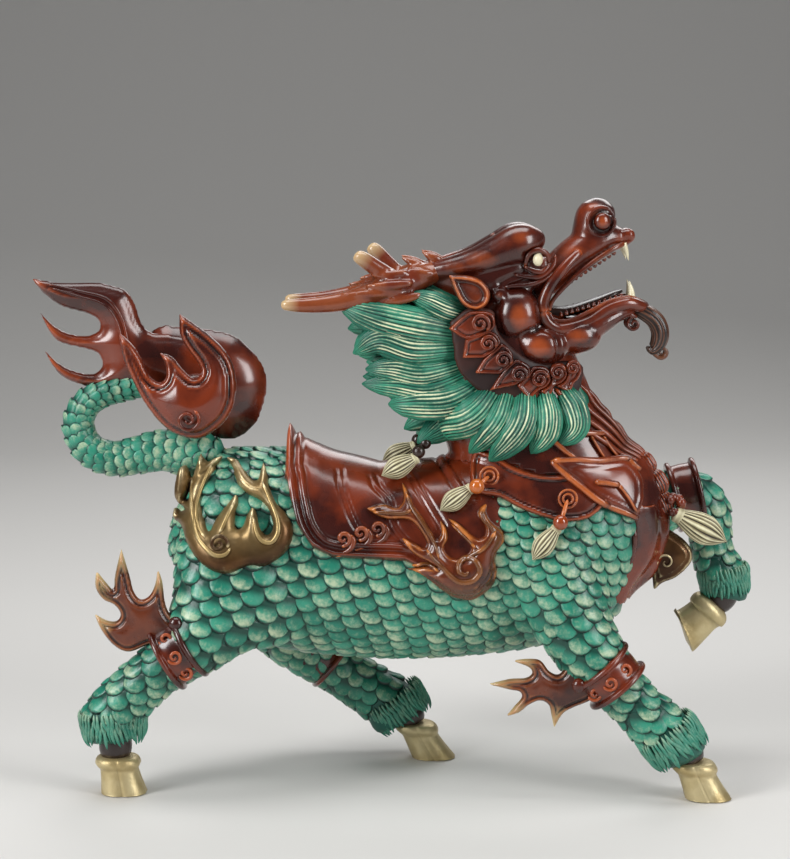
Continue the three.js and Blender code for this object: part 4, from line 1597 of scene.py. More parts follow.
@dataclass
class FetlockFringes:
    """Short curved locks of hair round each fetlock.

    Attributes:
        strands: Locks round one fetlock, in each of its three rows.
        seed: Seed of the differences between locks.
    """

    strands: int = 42
    seed: int = 11

    # x, y, z and half-sizes across and deep of the upper ring and of the free ends, for each leg
    RINGS = (
        ((-125, -25.5, 34, 13.2, 14.6), (-124, -25, 23.8, 11.2, 12.6)),
        ((0.4, 34, 26.6, 12.4, 14.2), (6.0, 34, 18.2, 11.0, 12.6)),
        ((120.6, -34, 28.4, 12.6, 13.4), (127, -34, 19.6, 11.4, 12.6)),
        ((153.4, 34, 87.0, 11.0, 11.2), (154.8, 34, 78.2, 9.8, 10.2)),
    )
    # share of a lock's length, how far it stands out and its half-size
    LOCK = ((0.0, -0.6, 0.5), (0.3, 0.5, 0.82), (0.6, 0.75, 0.84), (0.82, 0.5, 0.62), (1.0, -0.1, 0.2))
    DROP = 2.6  # how much lower each row of locks begins

    def ring(self, top: Row, low: Row, chance: random.Random) -> list[Sweep]:
        """The locks of one fetlock, from a ring round the top to a ring round the low end.

        Args:
            top: x, y, z and half-sizes across and deep of the upper ring.
            low: The same for the free ends.
            chance: The source of the differences.

        Returns:
            The locks.
        """
        start, end = Vector(top[:3]), Vector(low[:3])
        along = (end - start).normalized()
        across = Vector((0, 1, 0))
        deep = across.cross(along)
        found = []
        for level in range(3):
            for i in range(self.strands):
                angle = (i + level / 3 + chance.uniform(-0.2, 0.2)) / self.strands * math.tau
                out = across * math.cos(angle) + deep * math.sin(angle)
                side = along.cross(out)
                spin = 1.1 * math.sin(3.0 * angle + level) + chance.uniform(-0.7, 0.7)
                reach = 1.0 + chance.uniform(-0.12, 0.16)
                rows = []
                for share, flare, size in self.LOCK:
                    run = share * reach
                    wide = (top[3] + (low[3] - top[3]) * run) * math.cos(angle)
                    tall = (top[4] + (low[4] - top[4]) * run) * math.sin(angle)
                    spot = start.lerp(end, run) - along * (self.DROP * level) + across * wide + deep * tall
                    spot += out * (flare + 0.25 * level) + side * (spin * share * share * 1.9)
                    rows.append((*spot, size, size * 0.8))
                found.append(Sweep(rows, sides=5, steps=2, across=tuple(side), taper=0.1))
        return found

    def build(self) -> None:
        """The hair of all four legs."""
        chance = random.Random(self.seed)
        strands = [strand for top, low in self.RINGS for strand in self.ring(top, low, chance)]
        piece(mark_relief(swept(strands), gain=1.0), "fetlock_hair", FRINGE_PAINT)


HOCK_FLAME = (
    (-130.1, 102.2, 1), (-125.2, 96), (-122.6, 93.6), (-122, 100), (-119.1, 111.9, 1), (-115.8, 100.4),
    (-114.0, 93), (-111, 89.4), (-107.2, 91), (-104.6, 96), (-103.3, 103.1, 1), (-101.4, 97), (-100.6, 89.3),
    (-99, 84), (-95, 78), (-98, 71), (-107, 69.6), (-116.3, 66.2), (-122.8, 68.9), (-128.4, 76),
    (-131.3, 83.1, 1), (-126, 80.2), (-121.6, 79.8), (-119.8, 83), (-122.4, 87), (-127.4, 89.6),
    (-130.6, 95),
)
KNEE_FLAME = (
    (76, 62, 2), (86, 62, 2), (90, 50), (85.5, 44.7), (78.1, 41.4), (73.6, 38.6), (69.8, 32.2, 1), (68.6, 38),
    (67.4, 42.6), (63.6, 44.6), (58.6, 42.6), (54.4, 39.2), (48.7, 37.4, 1), (52.2, 41.8), (55.6, 46),
    (54.6, 48.6), (50.4, 49.4), (40.7, 51.9, 1), (50.4, 54.2), (57, 54.6), (60, 56.6), (58.6, 59.4),
    (51.2, 62.4, 1), (58, 63.2), (63.6, 62.4), (67.6, 57.6), (72, 56.4),
)


@dataclass
class CuffsAndFlames:
    """Lacquered cuffs above the hocks and knees, and the flames that rise from them.

    Attributes:
        rise: Height of a cuff's rims above the leg.
        height: Length of a cuff along the leg.
    """

    rise: float = 3.0
    height: float = 14.0

    # share of a cuff's half-length and of its rise
    PROFILE = (
        (-1.0, -1.5), (-1.0, 0.5), (-0.93, 0.92), (-0.82, 1.0), (-0.7, 0.9), (-0.62, 0.45),
        (-0.5, 0.32), (0.0, 0.38), (0.5, 0.32), (0.62, 0.45), (0.7, 0.9), (0.82, 1.0), (0.93, 0.92),
        (1.0, 0.5), (1.0, -1.5),
    )
    # middle, run of the leg and half-sizes of the leg in y and in the side view
    CUFFS = (
        ((-95, -32.5, 65.5), (-0.86, -0.51), 12.4, 12.6),
        ((94, -33, 55), (0.65, -0.76), 11.8, 12.4),
        ((-33.5, 32.5, 50), (0.78, -0.62), 11.6, 12.0),
        ((135, 33, 125), (0.97, 0.22), 11.8, 13.6),
    )
    CURLS = (-0.744, -0.06, 0.624)  # turns of the curls round the leg, in radians

    def cuff(self, centre: Row, way: Row, across: float, deep: float) -> list[Form]:
        """One cuff, with curls on its hollow band.

        Args:
            centre: x, y and z of its middle.
            way: x and z of the leg's run.
            across: Half-size of the leg in y.
            deep: Half-size of the leg in the side view.

        Returns:
            The cuff, its curls and its stud.
        """
        half = self.height / 2
        rows = [
            (centre[0] + way[0] * half * run, centre[1], centre[2] + way[1] * half * run,
             across + self.rise * lift, deep + self.rise * lift)
            for run, lift in self.PROFILE
        ]
        square = Vector((-way[1], 0, way[0]))
        side = math.copysign(1, centre[1])
        curls, beads = [], bmesh.new()
        for angle in self.CURLS:
            spot = Vector(centre[:3]) + square * (math.sin(angle) * (deep + 0.9))
            spot.y += side * math.cos(angle) * (across + 0.9)
            curls.append(coil((spot.x, spot.y, spot.z), 3.3, 1.0, 1.5, 200, 1, side * 0.9))
        spot = Vector(centre[:3]) - square * (math.sin(1.0) * (deep + 2)) - Vector((way[0], 0, way[1])) * half
        spot.y += side * math.cos(1.0) * (across + 2.5)
        ball(beads, spot, (3.3, 2.8, 3.3))
        band = mark_relief(swept([Sweep(rows, sides=72, steps=3, power=2.0)]))
        return [band, mark_relief(swept(curls)), mark_relief(beads, gain=1.0)]

    def flame(self, corners: Sequence[Row], y: float) -> Form:
        """A flame that stands on edge at a distance from the middle plane."""
        carving = Carving(thick=3.4, edge=0.7, run=2.6, lip=0.75, lip_at=0.9, groove=0.75, groove_at=2.0)
        return pale_tips(CarvedPlate(corners, carving, 0.62).standing(lambda x, z: y), corners, 11)

    def build(self) -> None:
        """All cuffs and flames."""
        piece(joined([part for cuff in self.CUFFS for part in self.cuff(*cuff)]), "cuffs", LACQUER)
        far = flame_outline(HOCK_FLAME, (59.5, -6.0), -12)
        flames = [self.flame(corners, y) for corners, y in ((HOCK_FLAME, -35), (KNEE_FLAME, -36), (far, 33))]
        piece(joined(flames), "cuff_flames", FLAME_PAINT)


NEAR_TAIL_FLAME = (
    (-121.5, 204.7, 1), (-119.6, 194), (-115.8, 184.3), (-110.2, 173.7), (-102.9, 164.4), (-95.9, 159.5),
    (-87.5, 157.6), (-80.4, 160.7), (-73.7, 167), (-70.1, 175.5), (-70, 186.1), (-73.4, 195),
    (-81.3, 203.3), (-94.8, 213, 1), (-94.4, 203.8), (-90.6, 196.7), (-86.4, 191.2), (-85.2, 186.8),
    (-88.2, 184.8), (-92.5, 188), (-98, 194), (-103.8, 195.8, 1), (-101, 190.4), (-100.6, 185.4),
    (-103.4, 182.8), (-107.8, 185.8), (-111.7, 193.7), (-115.6, 199.6),
)
FAR_TAIL_FLAME = (
    (-161.6, 227.6, 1), (-148, 225.4), (-134, 225.6), (-126.6, 224.4), (-119.6, 221.8), (-115.7, 215.5),
    (-113, 207.5), (-108, 203), (-98, 202), (-84, 198), (-74, 190), (-76, 172), (-90, 163), (-98, 165),
    (-112, 174), (-124, 177.5), (-134.5, 178.4), (-146, 182), (-152.2, 187.6), (-156.6, 195.8, 1),
    (-149, 189), (-141.6, 185.7), (-134.6, 184.9), (-131, 187.6), (-131.4, 192), (-134.6, 195),
    (-148.4, 198.6), (-153.8, 203.6), (-158, 212.2, 1), (-151.6, 206.2), (-144.8, 202.8), (-136.5, 202),
    (-131.8, 204.4), (-132, 208.6), (-136.3, 211.4), (-148.1, 215), (-156, 220.6),
)


FAR_DOME = (
    (-114, 198), (-106, 205.4), (-96, 205.6), (-83.6, 204.4), (-71.4, 201), (-62, 192.4), (-57.5, 181.5),
    (-59.4, 169.2), (-64.5, 159.6), (-74, 154.5), (-88, 158), (-100, 168), (-110, 184),
)


@dataclass
class Tail:
    """The scaled tail and the lacquered flames at its tip.

    Attributes:
        row: Spacing of the rows of scales.
        round: Scales in a row.
        first: How far from the tail's root the scales begin.
        thinnest: Half-size of the tail below which it has no scales.
    """

    row: float = 4.5
    round: int = 9
    first: float = 4.0
    thinnest: float = 3.5

    NEAR_CUT = Carving(
        thick=6.2, edge=1.0, run=5.5, lip=0.8, lip_at=1.2, groove=1.0, groove_at=2.7, second=0.7
    )
    FAR_CUT = Carving(
        thick=7.6, edge=0.9, run=5.5, lip=0.35, lip_at=0.9, groove=0.2, groove_at=2.2, second=0.0
    )
    DOME_CUT = Carving(thick=12.0, edge=0.8, run=9.0, lip=0.0, groove=0.0, second=0.0)
    CREASES = (
        (((-156, 225.4), (-140, 221.8), (-128, 218.6), (-121.6, 211), (-119, 201), (-118.6, 192)), 0.9),
        (((-154, 223.8), (-140, 219.6), (-129.4, 216.2), (-123.8, 209.4), (-121.4, 201), (-120.8, 194)), 0.7),
    )

    def scales(self, carrier: Carrier) -> Form:
        """Rows of scales from the root to the flames.

        Args:
            carrier: The tail under its scales.

        Returns:
            The scales.
        """
        frames = Sweep(TAIL, steps=30).frames()
        spots = []
        run, due, line = 0.0, self.first, 0
        for (before, *_), (centre, across, deep, wide, tall) in zip(frames, frames[1:], strict=False):
            run += (centre - before).length
            if run < due or wide < self.thinnest:
                continue
            due += self.row
            line += 1
            way = (centre - before).normalized()
            width = math.tau * (wide + tall) / 2 / self.round
            for i in range(self.round):
                angle = (i + 0.5 * (line % 2)) / self.round * math.tau
                out = across * math.cos(angle) + deep * math.sin(angle)
                spot = centre + across * (wide * math.cos(angle)) + deep * (tall * math.sin(angle))
                spots.append((spot, out, way, self.row * 1.15, width * 1.05))
        return ScaleCoat(row=self.row, column=5.2, lift=0.8, crown=0.35, seed=23).lay(spots, carrier)

    def creases(self, far: Form) -> Form:
        """Raised creases that follow the far flame's near face.

        Args:
            far: The far flame.

        Returns:
            The creases.
        """
        tree = BVHTree.FromBMesh(far)
        found = []
        for points, radius in self.CREASES:
            rows = []
            for x, z in sampled(points, 4):
                spot, _, _, _ = tree.ray_cast(Vector((x, -60, z)), Vector((0, 1, 0)))
                if spot is not None:
                    rows.append((x, spot.y - 0.1, z))
            found.append(cord(rows, radius, steps=1))
        return mark_relief(swept(found), gain=0.6)

    def flames(self) -> list[Form]:
        """The flames.

        Returns:
            The near leaf, the far tongues and the domed leaf behind them, with their creases and curl.
        """

        def near_middle(x: float, z: float) -> float:
            """The near leaf's middle, which swells toward the viewer."""
            swell = math.exp(-(((x + 88) / 19) ** 2) - ((z - 175) / 17) ** 2)
            return -15 - 4.5 * swell + 0.05 * max(0, z - 185)

        near = CarvedPlate(NEAR_TAIL_FLAME, self.NEAR_CUT, 0.85).standing(near_middle)
        far = CarvedPlate(FAR_TAIL_FLAME, self.FAR_CUT, 0.95).standing(lambda x, z: 2 + 0.04 * (x + 100))
        back = CarvedPlate(FAR_DOME, self.DOME_CUT, 1.0).standing(lambda x, z: 6.0)
        swell = bmesh.new()
        ball(swell, (-88, -9, 174), (13, 7, 12), 32)
        eye = mark_relief(swept([coil((-90.5, -24.9, 166.8), 5.4, 1.05, 1.7, 60, -1, -0.6)]), gain=1.0)
        leaves = [pale_tips(near, NEAR_TAIL_FLAME, 12), pale_tips(far, FAR_TAIL_FLAME, 13), back]
        return [*leaves, swell, self.creases(far), eye]

    def build(self) -> None:
        """The tail, its scales and its flames."""
        core = swept([Sweep(TAIL, sides=32, steps=10)])
        piece(self.scales(Carrier.over(core)), "tail_scales", SCALE_PAINT)
        piece(mark_relief(core), "tail", HIDE_PAINT)
        piece(joined(self.flames()), "tail_flames", LACQUER)


THIGH_SCROLL = (
    (-85.9, 150.7, 1), (-87.6, 146), (-89.6, 139), (-90.8, 133), (-91.2, 130.4, 2), (-90.2, 136),
    (-91, 142.5), (-92.6, 145.8, 1), (-95.4, 144), (-97, 138.4), (-97.6, 132.6), (-96, 128.8),
    (-92.6, 126.2, 2), (-95, 125.4), (-97.6, 126.8, 1), (-98.4, 123), (-97, 120.6), (-94.5, 119.0),
    (-91.8, 114.4), (-86.4, 107.4), (-79.4, 102.6), (-72.3, 101.4), (-66.8, 103.6), (-62.4, 104.8),
    (-59, 104.2), (-55, 104.8), (-49, 108.7),
    (-45, 114.4), (-44.3, 121.2), (-47.6, 126.9), (-51.9, 131.3), (-55.1, 137.7), (-56.1, 143.2),
    (-58.3, 147.4, 1), (-60.3, 140.6), (-62.9, 140.6), (-66.7, 144.6), (-70.4, 148.2), (-74.8, 149.2, 1),
    (-71.3, 143.6), (-69.1, 138.6), (-64.6, 134.8), (-58.8, 132), (-55.2, 128.3), (-53.3, 122.5),
    (-53.9, 118.8), (-56.5, 117.8), (-58.9, 121.4), (-60.2, 126.2), (-61.9, 130.2, 1), (-64.3, 126.5),
    (-66.5, 121.4), (-69, 120.2), (-69.6, 125.4), (-68.3, 131), (-69.4, 135, 1), (-74, 129.6), (-78.2, 123.9),
    (-80.6, 119.2), (-81.8, 119.4), (-84.2, 125.9), (-85.2, 132.5), (-83, 138.5), (-79.3, 143.5),
    (-76.2, 149.6, 1), (-79.7, 148.6), (-83, 147),
)
SHOULDER_SCROLL = (
    (5.2, 103.0, 1), (12.6, 104.6), (18.0, 104.2), (14.2, 106.6), (9.1, 109.2), (5.4, 112.5), (2.6, 117.0, 1),
    (8.2, 114.9), (12.4, 112.6), (13.6, 114.4), (11.6, 118.4), (8.2, 122.6), (4.6, 124.2), (-2.2, 124.0),
    (-7.4, 125.3), (-12.6, 128.8, 1), (-5.6, 130.7), (0.0, 129.2), (2.6, 130.6), (3.4, 134.0),
    (2.8, 139.4, 1), (6.9, 134.2), (8.7, 129.9), (12.5, 125.0), (16.2, 119.3), (18.2, 116.2),
    (19.8, 118.8), (19.5, 124.2, 1), (22.6, 120.9), (23.2, 116.4), (21.6, 112.5), (23.6, 109.4),
    (26.4, 108.2), (30.5, 109.2), (32.9, 112.6), (31.0, 116.2), (27.3, 120.0), (22.6, 125.2, 1),
    (28.2, 123.0), (33.0, 118.8), (36.3, 116.8), (38.9, 118.4),
    (38.7, 122.4), (35.8, 126.3), (36.9, 129.7), (40.3, 131.6, 1), (39.8, 127.5), (42.4, 123.4),
    (46.8, 119.8),
    (47.6, 115.2), (44.2, 110.4), (43.6, 107.2), (44.5, 101.9), (43.3, 96.4), (38.2, 91.1), (32.7, 88.7),
    (25.5, 90.0), (20.1, 93.6), (14.8, 98.0), (10.0, 101.2),
)


@dataclass
class Scrolls:
    """Flame scrolls on the thighs, and over the saddle's corners behind the shoulders."""

    THIGH_RIDGES = (
        (((-89.6, 140), (-89.6, 133.6), (-88.4, 125.4), (-86.2, 117.9), (-82.1, 113.1), (-77.6, 110.2),
          (-73.4, 110.6), (-71.0, 113.4)), 1.15),
        (((-58.4, 141), (-54.2, 132.3), (-51.2, 125.8), (-50.7, 119.8), (-53.3, 115.6), (-57.4, 115.8),
          (-60.2, 119.6), (-61.6, 126)), 1.15),
        (((-80.6, 147), (-84, 139.6), (-87, 130), (-86, 121.6), (-82.4, 116.6)), 0.9),
        (((-70, 132), (-73.6, 124.6), (-76.4, 118.6)), 1.0),
    )
    SHOULDER_RIDGES = (
        (((13.6, 112.6), (16.6, 108.6), (21.6, 103.6), (27.4, 98.9), (33.4, 99.3), (36.6, 103.4),
          (35.0, 107.6), (31.5, 109.0), (28.0, 106.9), (27.7, 103.3), (30.4, 101.9), (31.8, 103.6)), 1.35),
        (((44, 121), (39.4, 114.4), (33.6, 110.4), (28.4, 107.2)), 1.1),
        (((6.6, 104.2), (13.6, 105.6), (19.6, 102.6)), 0.9),
        (((4.6, 136), (7.2, 129.6), (12.4, 122.6), (17.2, 114.6), (19.0, 108.4)), 0.9),
        (((-10, 127.6), (-3.6, 127.4), (3.6, 127.2), (7.2, 129.0)), 0.9),
        (((24.4, 122.6), (30.4, 117.6), (35.2, 112.8)), 0.8),
        (((38.6, 129.6), (38.0, 125.6), (41.6, 121.6), (43.6, 117.6)), 0.8),
    )

    THIGH_CUT = Carving(thick=5.6, edge=1.0, run=2.2, lip=0.0, groove=0.0, second=0.0)
    SHOULDER_CUT = Carving(
        thick=4.8, edge=1.0, run=2.2, lip=0.5, lip_at=0.8, groove=0.4, groove_at=2.0, second=0.0
    )

    def ridges(
        self, lines: Sequence[tuple[Sequence[Row], float]], top: Carrier, side: Side
    ) -> Form:
        """Raised lines along a scroll.

        Args:
            lines: The points of each line, as x and z, and its radius.
            top: The scroll that they run on, on what it lies on.
            side: The flank.

        Returns:
            The lines.
        """
        found = []
        for points, radius in lines:
            rise = side.value * radius * 0.3
            rows = [(x, top.flank(x, z, side)[0] + rise, z) for x, z in sampled(points, 4)]
            found.append(cord(rows, radius, steps=1))
        return self.worn(mark_relief(swept(found), gain=1.6), lambda spot: 1.0)

    def worn(self, plate: Form, share: Callable[[Vector], float]) -> Form:
        """Notes where the lighter paint lies on a scroll.

        Args:
            plate: The scroll.
            share: From a place to how much of the lighter paint it holds.

        Returns:
            The same scroll.
        """
        pale = paint_layer(plate, "pale")
        for vert in plate.verts:
            vert[pale] = min(max(share(vert.co), 0.0), 1.0)
        return plate

    def thigh_share(self, spot: Vector) -> float:
        """How much lighter paint the thigh's scroll holds at a place: more above, little at both ends."""
        front = math.exp(-(((spot.x + 46) / 8) ** 2) - ((spot.z - 117) / 16) ** 2)
        rear = math.exp(-(((spot.x + 97) / 5) ** 2))
        return min((spot.z - 107) / 22, 0.6) * (1 - front) * (1 - 0.7 * rear)

    def build(self, carrier: Carrier) -> None:
        """All four scrolls, with the curls in their hearts.

        Args:
            carrier: The skin and the saddle.
        """
        thighs, shoulders = [], []
        for side in Side:
            thigh = CarvedPlate(THIGH_SCROLL, self.THIGH_CUT, 0.66).laid(carrier, side)
            top = Carrier.over(thigh, carrier)
            eye, _ = top.flank(-76.6, 114.6, side)
            heart = coil((-76.4, eye + side.value * 0.6, 115.0), 4.4, 1.1, 1.4, 330, 1, side.value * 1.0)
            thighs.append(self.ridges(self.THIGH_RIDGES, top, side))
            thighs.append(mark_relief(swept([heart]), gain=0.9))
            thighs.append(self.worn(thigh, self.thigh_share))
            shoulder = CarvedPlate(SHOULDER_SCROLL, self.SHOULDER_CUT, 0.66).laid(carrier, side, soft=2.4)
            shoulders.append(self.ridges(self.SHOULDER_RIDGES, Carrier.over(shoulder, carrier), side))
            shoulders.append(self.worn(shoulder, lambda spot: max((99 - spot.z) / 7, (spot.x - 41) / 5)))
        piece(joined(thighs), "thigh_scrolls", BRONZE)
        piece(joined(shoulders), "shoulder_scrolls", SCROLL_LACQUER)


SADDLE_EDGE = (
    *FLAP_EDGE[:6], (4.4, 105.6), (12, 101.5), (20, 95.5), (28, 91.5), (36, 93), (41, 98), (44, 106),
    (46, 120), (48, 134),
)


@dataclass
class Saddle:
    """The saddle and its skirt: a blanket over the back with rolled borders and a standing cantle.

    Attributes:
        lift: Height of the blanket above the back.
        root: How far its underside is let into the back.
        cantle: Height of the rear edge on the middle line.
        rear: x of the rear edge.
        front: x of the front edge.
    """

    lift: float = 3.4
    root: float = 3.0
    cantle: float = 8.0
    rear: float = -49.0
    front: float = 48.0

    SEAMS = (
        (((-25.6, 143.2), (-24.3, 135.8), (-19.6, 124.3), (-16.4, 119)), 0.8),
        (((-23.0, 143.2), (-21.7, 135.8), (-17.0, 124.3), (-13.6, 118.4)), 0.8),
        (((-11.7, 140.2), (-9.1, 135.8), (-3.9, 130.5), (-2.2, 120.8), (5.7, 112)), 0.7),
        (((-8.9, 140.2), (-6.3, 136.4), (-1.1, 131.5), (0.8, 121.8), (8.7, 113)), 0.7),
        (((3.0, 142.8), (9.1, 135.8), (19.6, 119.9)), 0.85),
        (((6.0, 144), (11.8, 137), (22, 122)), 0.85),
        (((13, 153.3), (24.7, 138.4), (27, 134)), 0.9),
        (((19.5, 151.5), (29.1, 139.3), (31, 136)), 0.9),
    )

    # rise, distance from the edge and width of each moulding of the border
    BORDER = ((2.0, 2.0, 1.9), (-0.9, 4.7, 0.8), (1.3, 6.8, 1.0), (-0.5, 8.6, 0.7))
    OUTER = 0.7  # share of the grid that is the blanket's outer face; the rest is its underside
    FLAP = 46.0  # length of a flap round the body

    def surface(self, x: float, share: float, lift: float, cantle: float) -> Vector:
        """A place on the blanket.

        Args:
            x: Length.
            share: Share of the way round, -1 to 1.
            lift: Lift off the back.
            cantle: Extra height on the middle line.

        Returns:
            The place.
        """
        middle, wide, tall = trunk_section(x)
        angle = share * math.acos(min(max((along_edge(SADDLE_EDGE, x) - middle) / tall, -1), 1))
        return Vector((x, (wide + lift) * math.sin(angle), middle + (tall + lift + cantle) * math.cos(angle)))

    def relief(self, spots: np.ndarray, back: np.ndarray) -> np.ndarray:
        """Height of the borders and depth of the seams.

        Args:
            spots: x and z of each place.
            back: The distance of each place from the rear edge.

        Returns:
            The rise at each place.
        """
        near = np.minimum(line_distance(spots, sampled(SADDLE_EDGE[:8], 10)), back)
        rise = sum(height * bell(near, at, width) for height, at, width in self.BORDER)
        rise *= np.clip((12 - spots[:, 0]) / 10, 0, 1)
        for line, depth in self.SEAMS:
            rise -= depth * 1.1 * bell(line_distance(spots, sampled(line, 8)), 0, 0.6)
        strap = np.clip((spots[:, 1] - 133) / 3, 0, 1)
        across = (spots[:, 0] - 13) * 0.79 + (spots[:, 1] - 153.3) * 0.61
        return rise + 0.8 * strap * np.clip(1.6 - np.abs(across - 2.6) / 1.6, 0, 1)

    def shell(self) -> Form:
        """The blanket, closed under its edges.

        Returns:
            The blanket.
        """
        shape = bmesh.new()
        grid = bmesh.ops.create_grid(shape, x_segments=256, y_segments=104, size=0.5)["verts"]
        base = []
        for vert in grid:
            turn, run = vert.co.x + 0.5, min(max(vert.co.y + 0.5, 0), 1)
            outer = turn <= self.OUTER
            share = 1 - 2 * turn / self.OUTER if outer else -1 + 2 * (turn - self.OUTER) / (1 - self.OUTER)
            base.append((self.rear + (self.front - self.rear) * run, min(max(share, -1), 1), outer))
        flat = [self.surface(x, share, self.lift, 0) for x, share, _ in base]
        spots = np.array([(spot.x, spot.z) for spot in flat])
        rises = self.relief(spots, np.array([x - self.rear for x, *_ in base]))
        for vert, (x, share, outer), rise in zip(grid, base, rises, strict=True):
            near_edge = min((1 - abs(share)) * self.FLAP, x - self.rear, (self.front - x) * 3)
            roll = math.sqrt(min(1.0, max(0.0, near_edge) / 1.6))
            stand = max(0.0, (self.rear + 26 - x) / 26) ** 2
            dip = 2.0 * math.exp(-(((x + 8) / 22) ** 2)) * max(0.0, math.cos(share * 1.5)) ** 2
            lift, cantle = -self.root, 0.0
            if outer:
                front = min(1.0, (self.front - x) / 11) ** 0.8
                lift += (self.lift * front + rise + dip + self.root) * roll
                cantle = self.cantle * stand * max(0.0, math.cos(share * 1.45)) ** 2 * roll
            vert.co = self.surface(x, share, lift, cantle)
        return mark_relief(closed(shape, 0.01), gain=1.6)

    def waves(self, carrier: Carrier) -> Form:
        """Three breaking waves on the lower border of each flap.

        Args:
            carrier: The blanket.

        Returns:
            The waves.
        """
        found = []
        for side in Side:
            for x, z in ((-22.4, 116.6), (-15.0, 118.8), (-7.6, 120.6)):
                y = carrier.flank(x, z, side)[0] + side.value * 1.2
                found.append(coil((x, y, z), 3.4, 1.25, 1.35, 250, 1, side.value * 0.8))
                stem = ((2.6, 1.8), (4.4, -1.2), (2.4, -5.2), (-3.2, -8.0))
                found.append(cord([(x + dx, y, z + dz) for dx, dz in stem], 1.25))
        return mark_relief(swept(found), gain=1.1)

    def build(self) -> Form:
        """The saddle and its waves.

        Returns:
            A copy of the saddle's form, for what lies on it.
        """
        shell = self.shell()
        copy = shell.copy()
        carrier = Carrier.over(shell)
        piece(shell, "saddle", LACQUER)
        piece(self.waves(carrier), "saddle_waves", RIM_LACQUER)
        return copy


BREAST_BAND = (
    (35, 154.4, 1), (41, 152.8), (45.5, 151), (51.5, 147.2), (61, 144.2), (70, 143.4), (80, 145), (90, 147),
    (97, 145), (100, 140, 2), (96, 135), (91.6, 130.2), (87.6, 126.6), (82.8, 124.2), (74.6, 123.3),
    (65.9, 125), (54.6, 129), (45.5, 133.4), (38, 134.8), (33, 137, 1), (33, 146),
)
BREAST_PLATE = (
    (69.2, 149.8, 1), (79, 149.8), (89, 148.8), (101, 148.8), (105.6, 146, 2), (109, 140), (109.2, 132),
    (106, 123.8, 1), (98, 127.8), (88.3, 132.8), (80.1, 139.1), (73, 145.2),
)


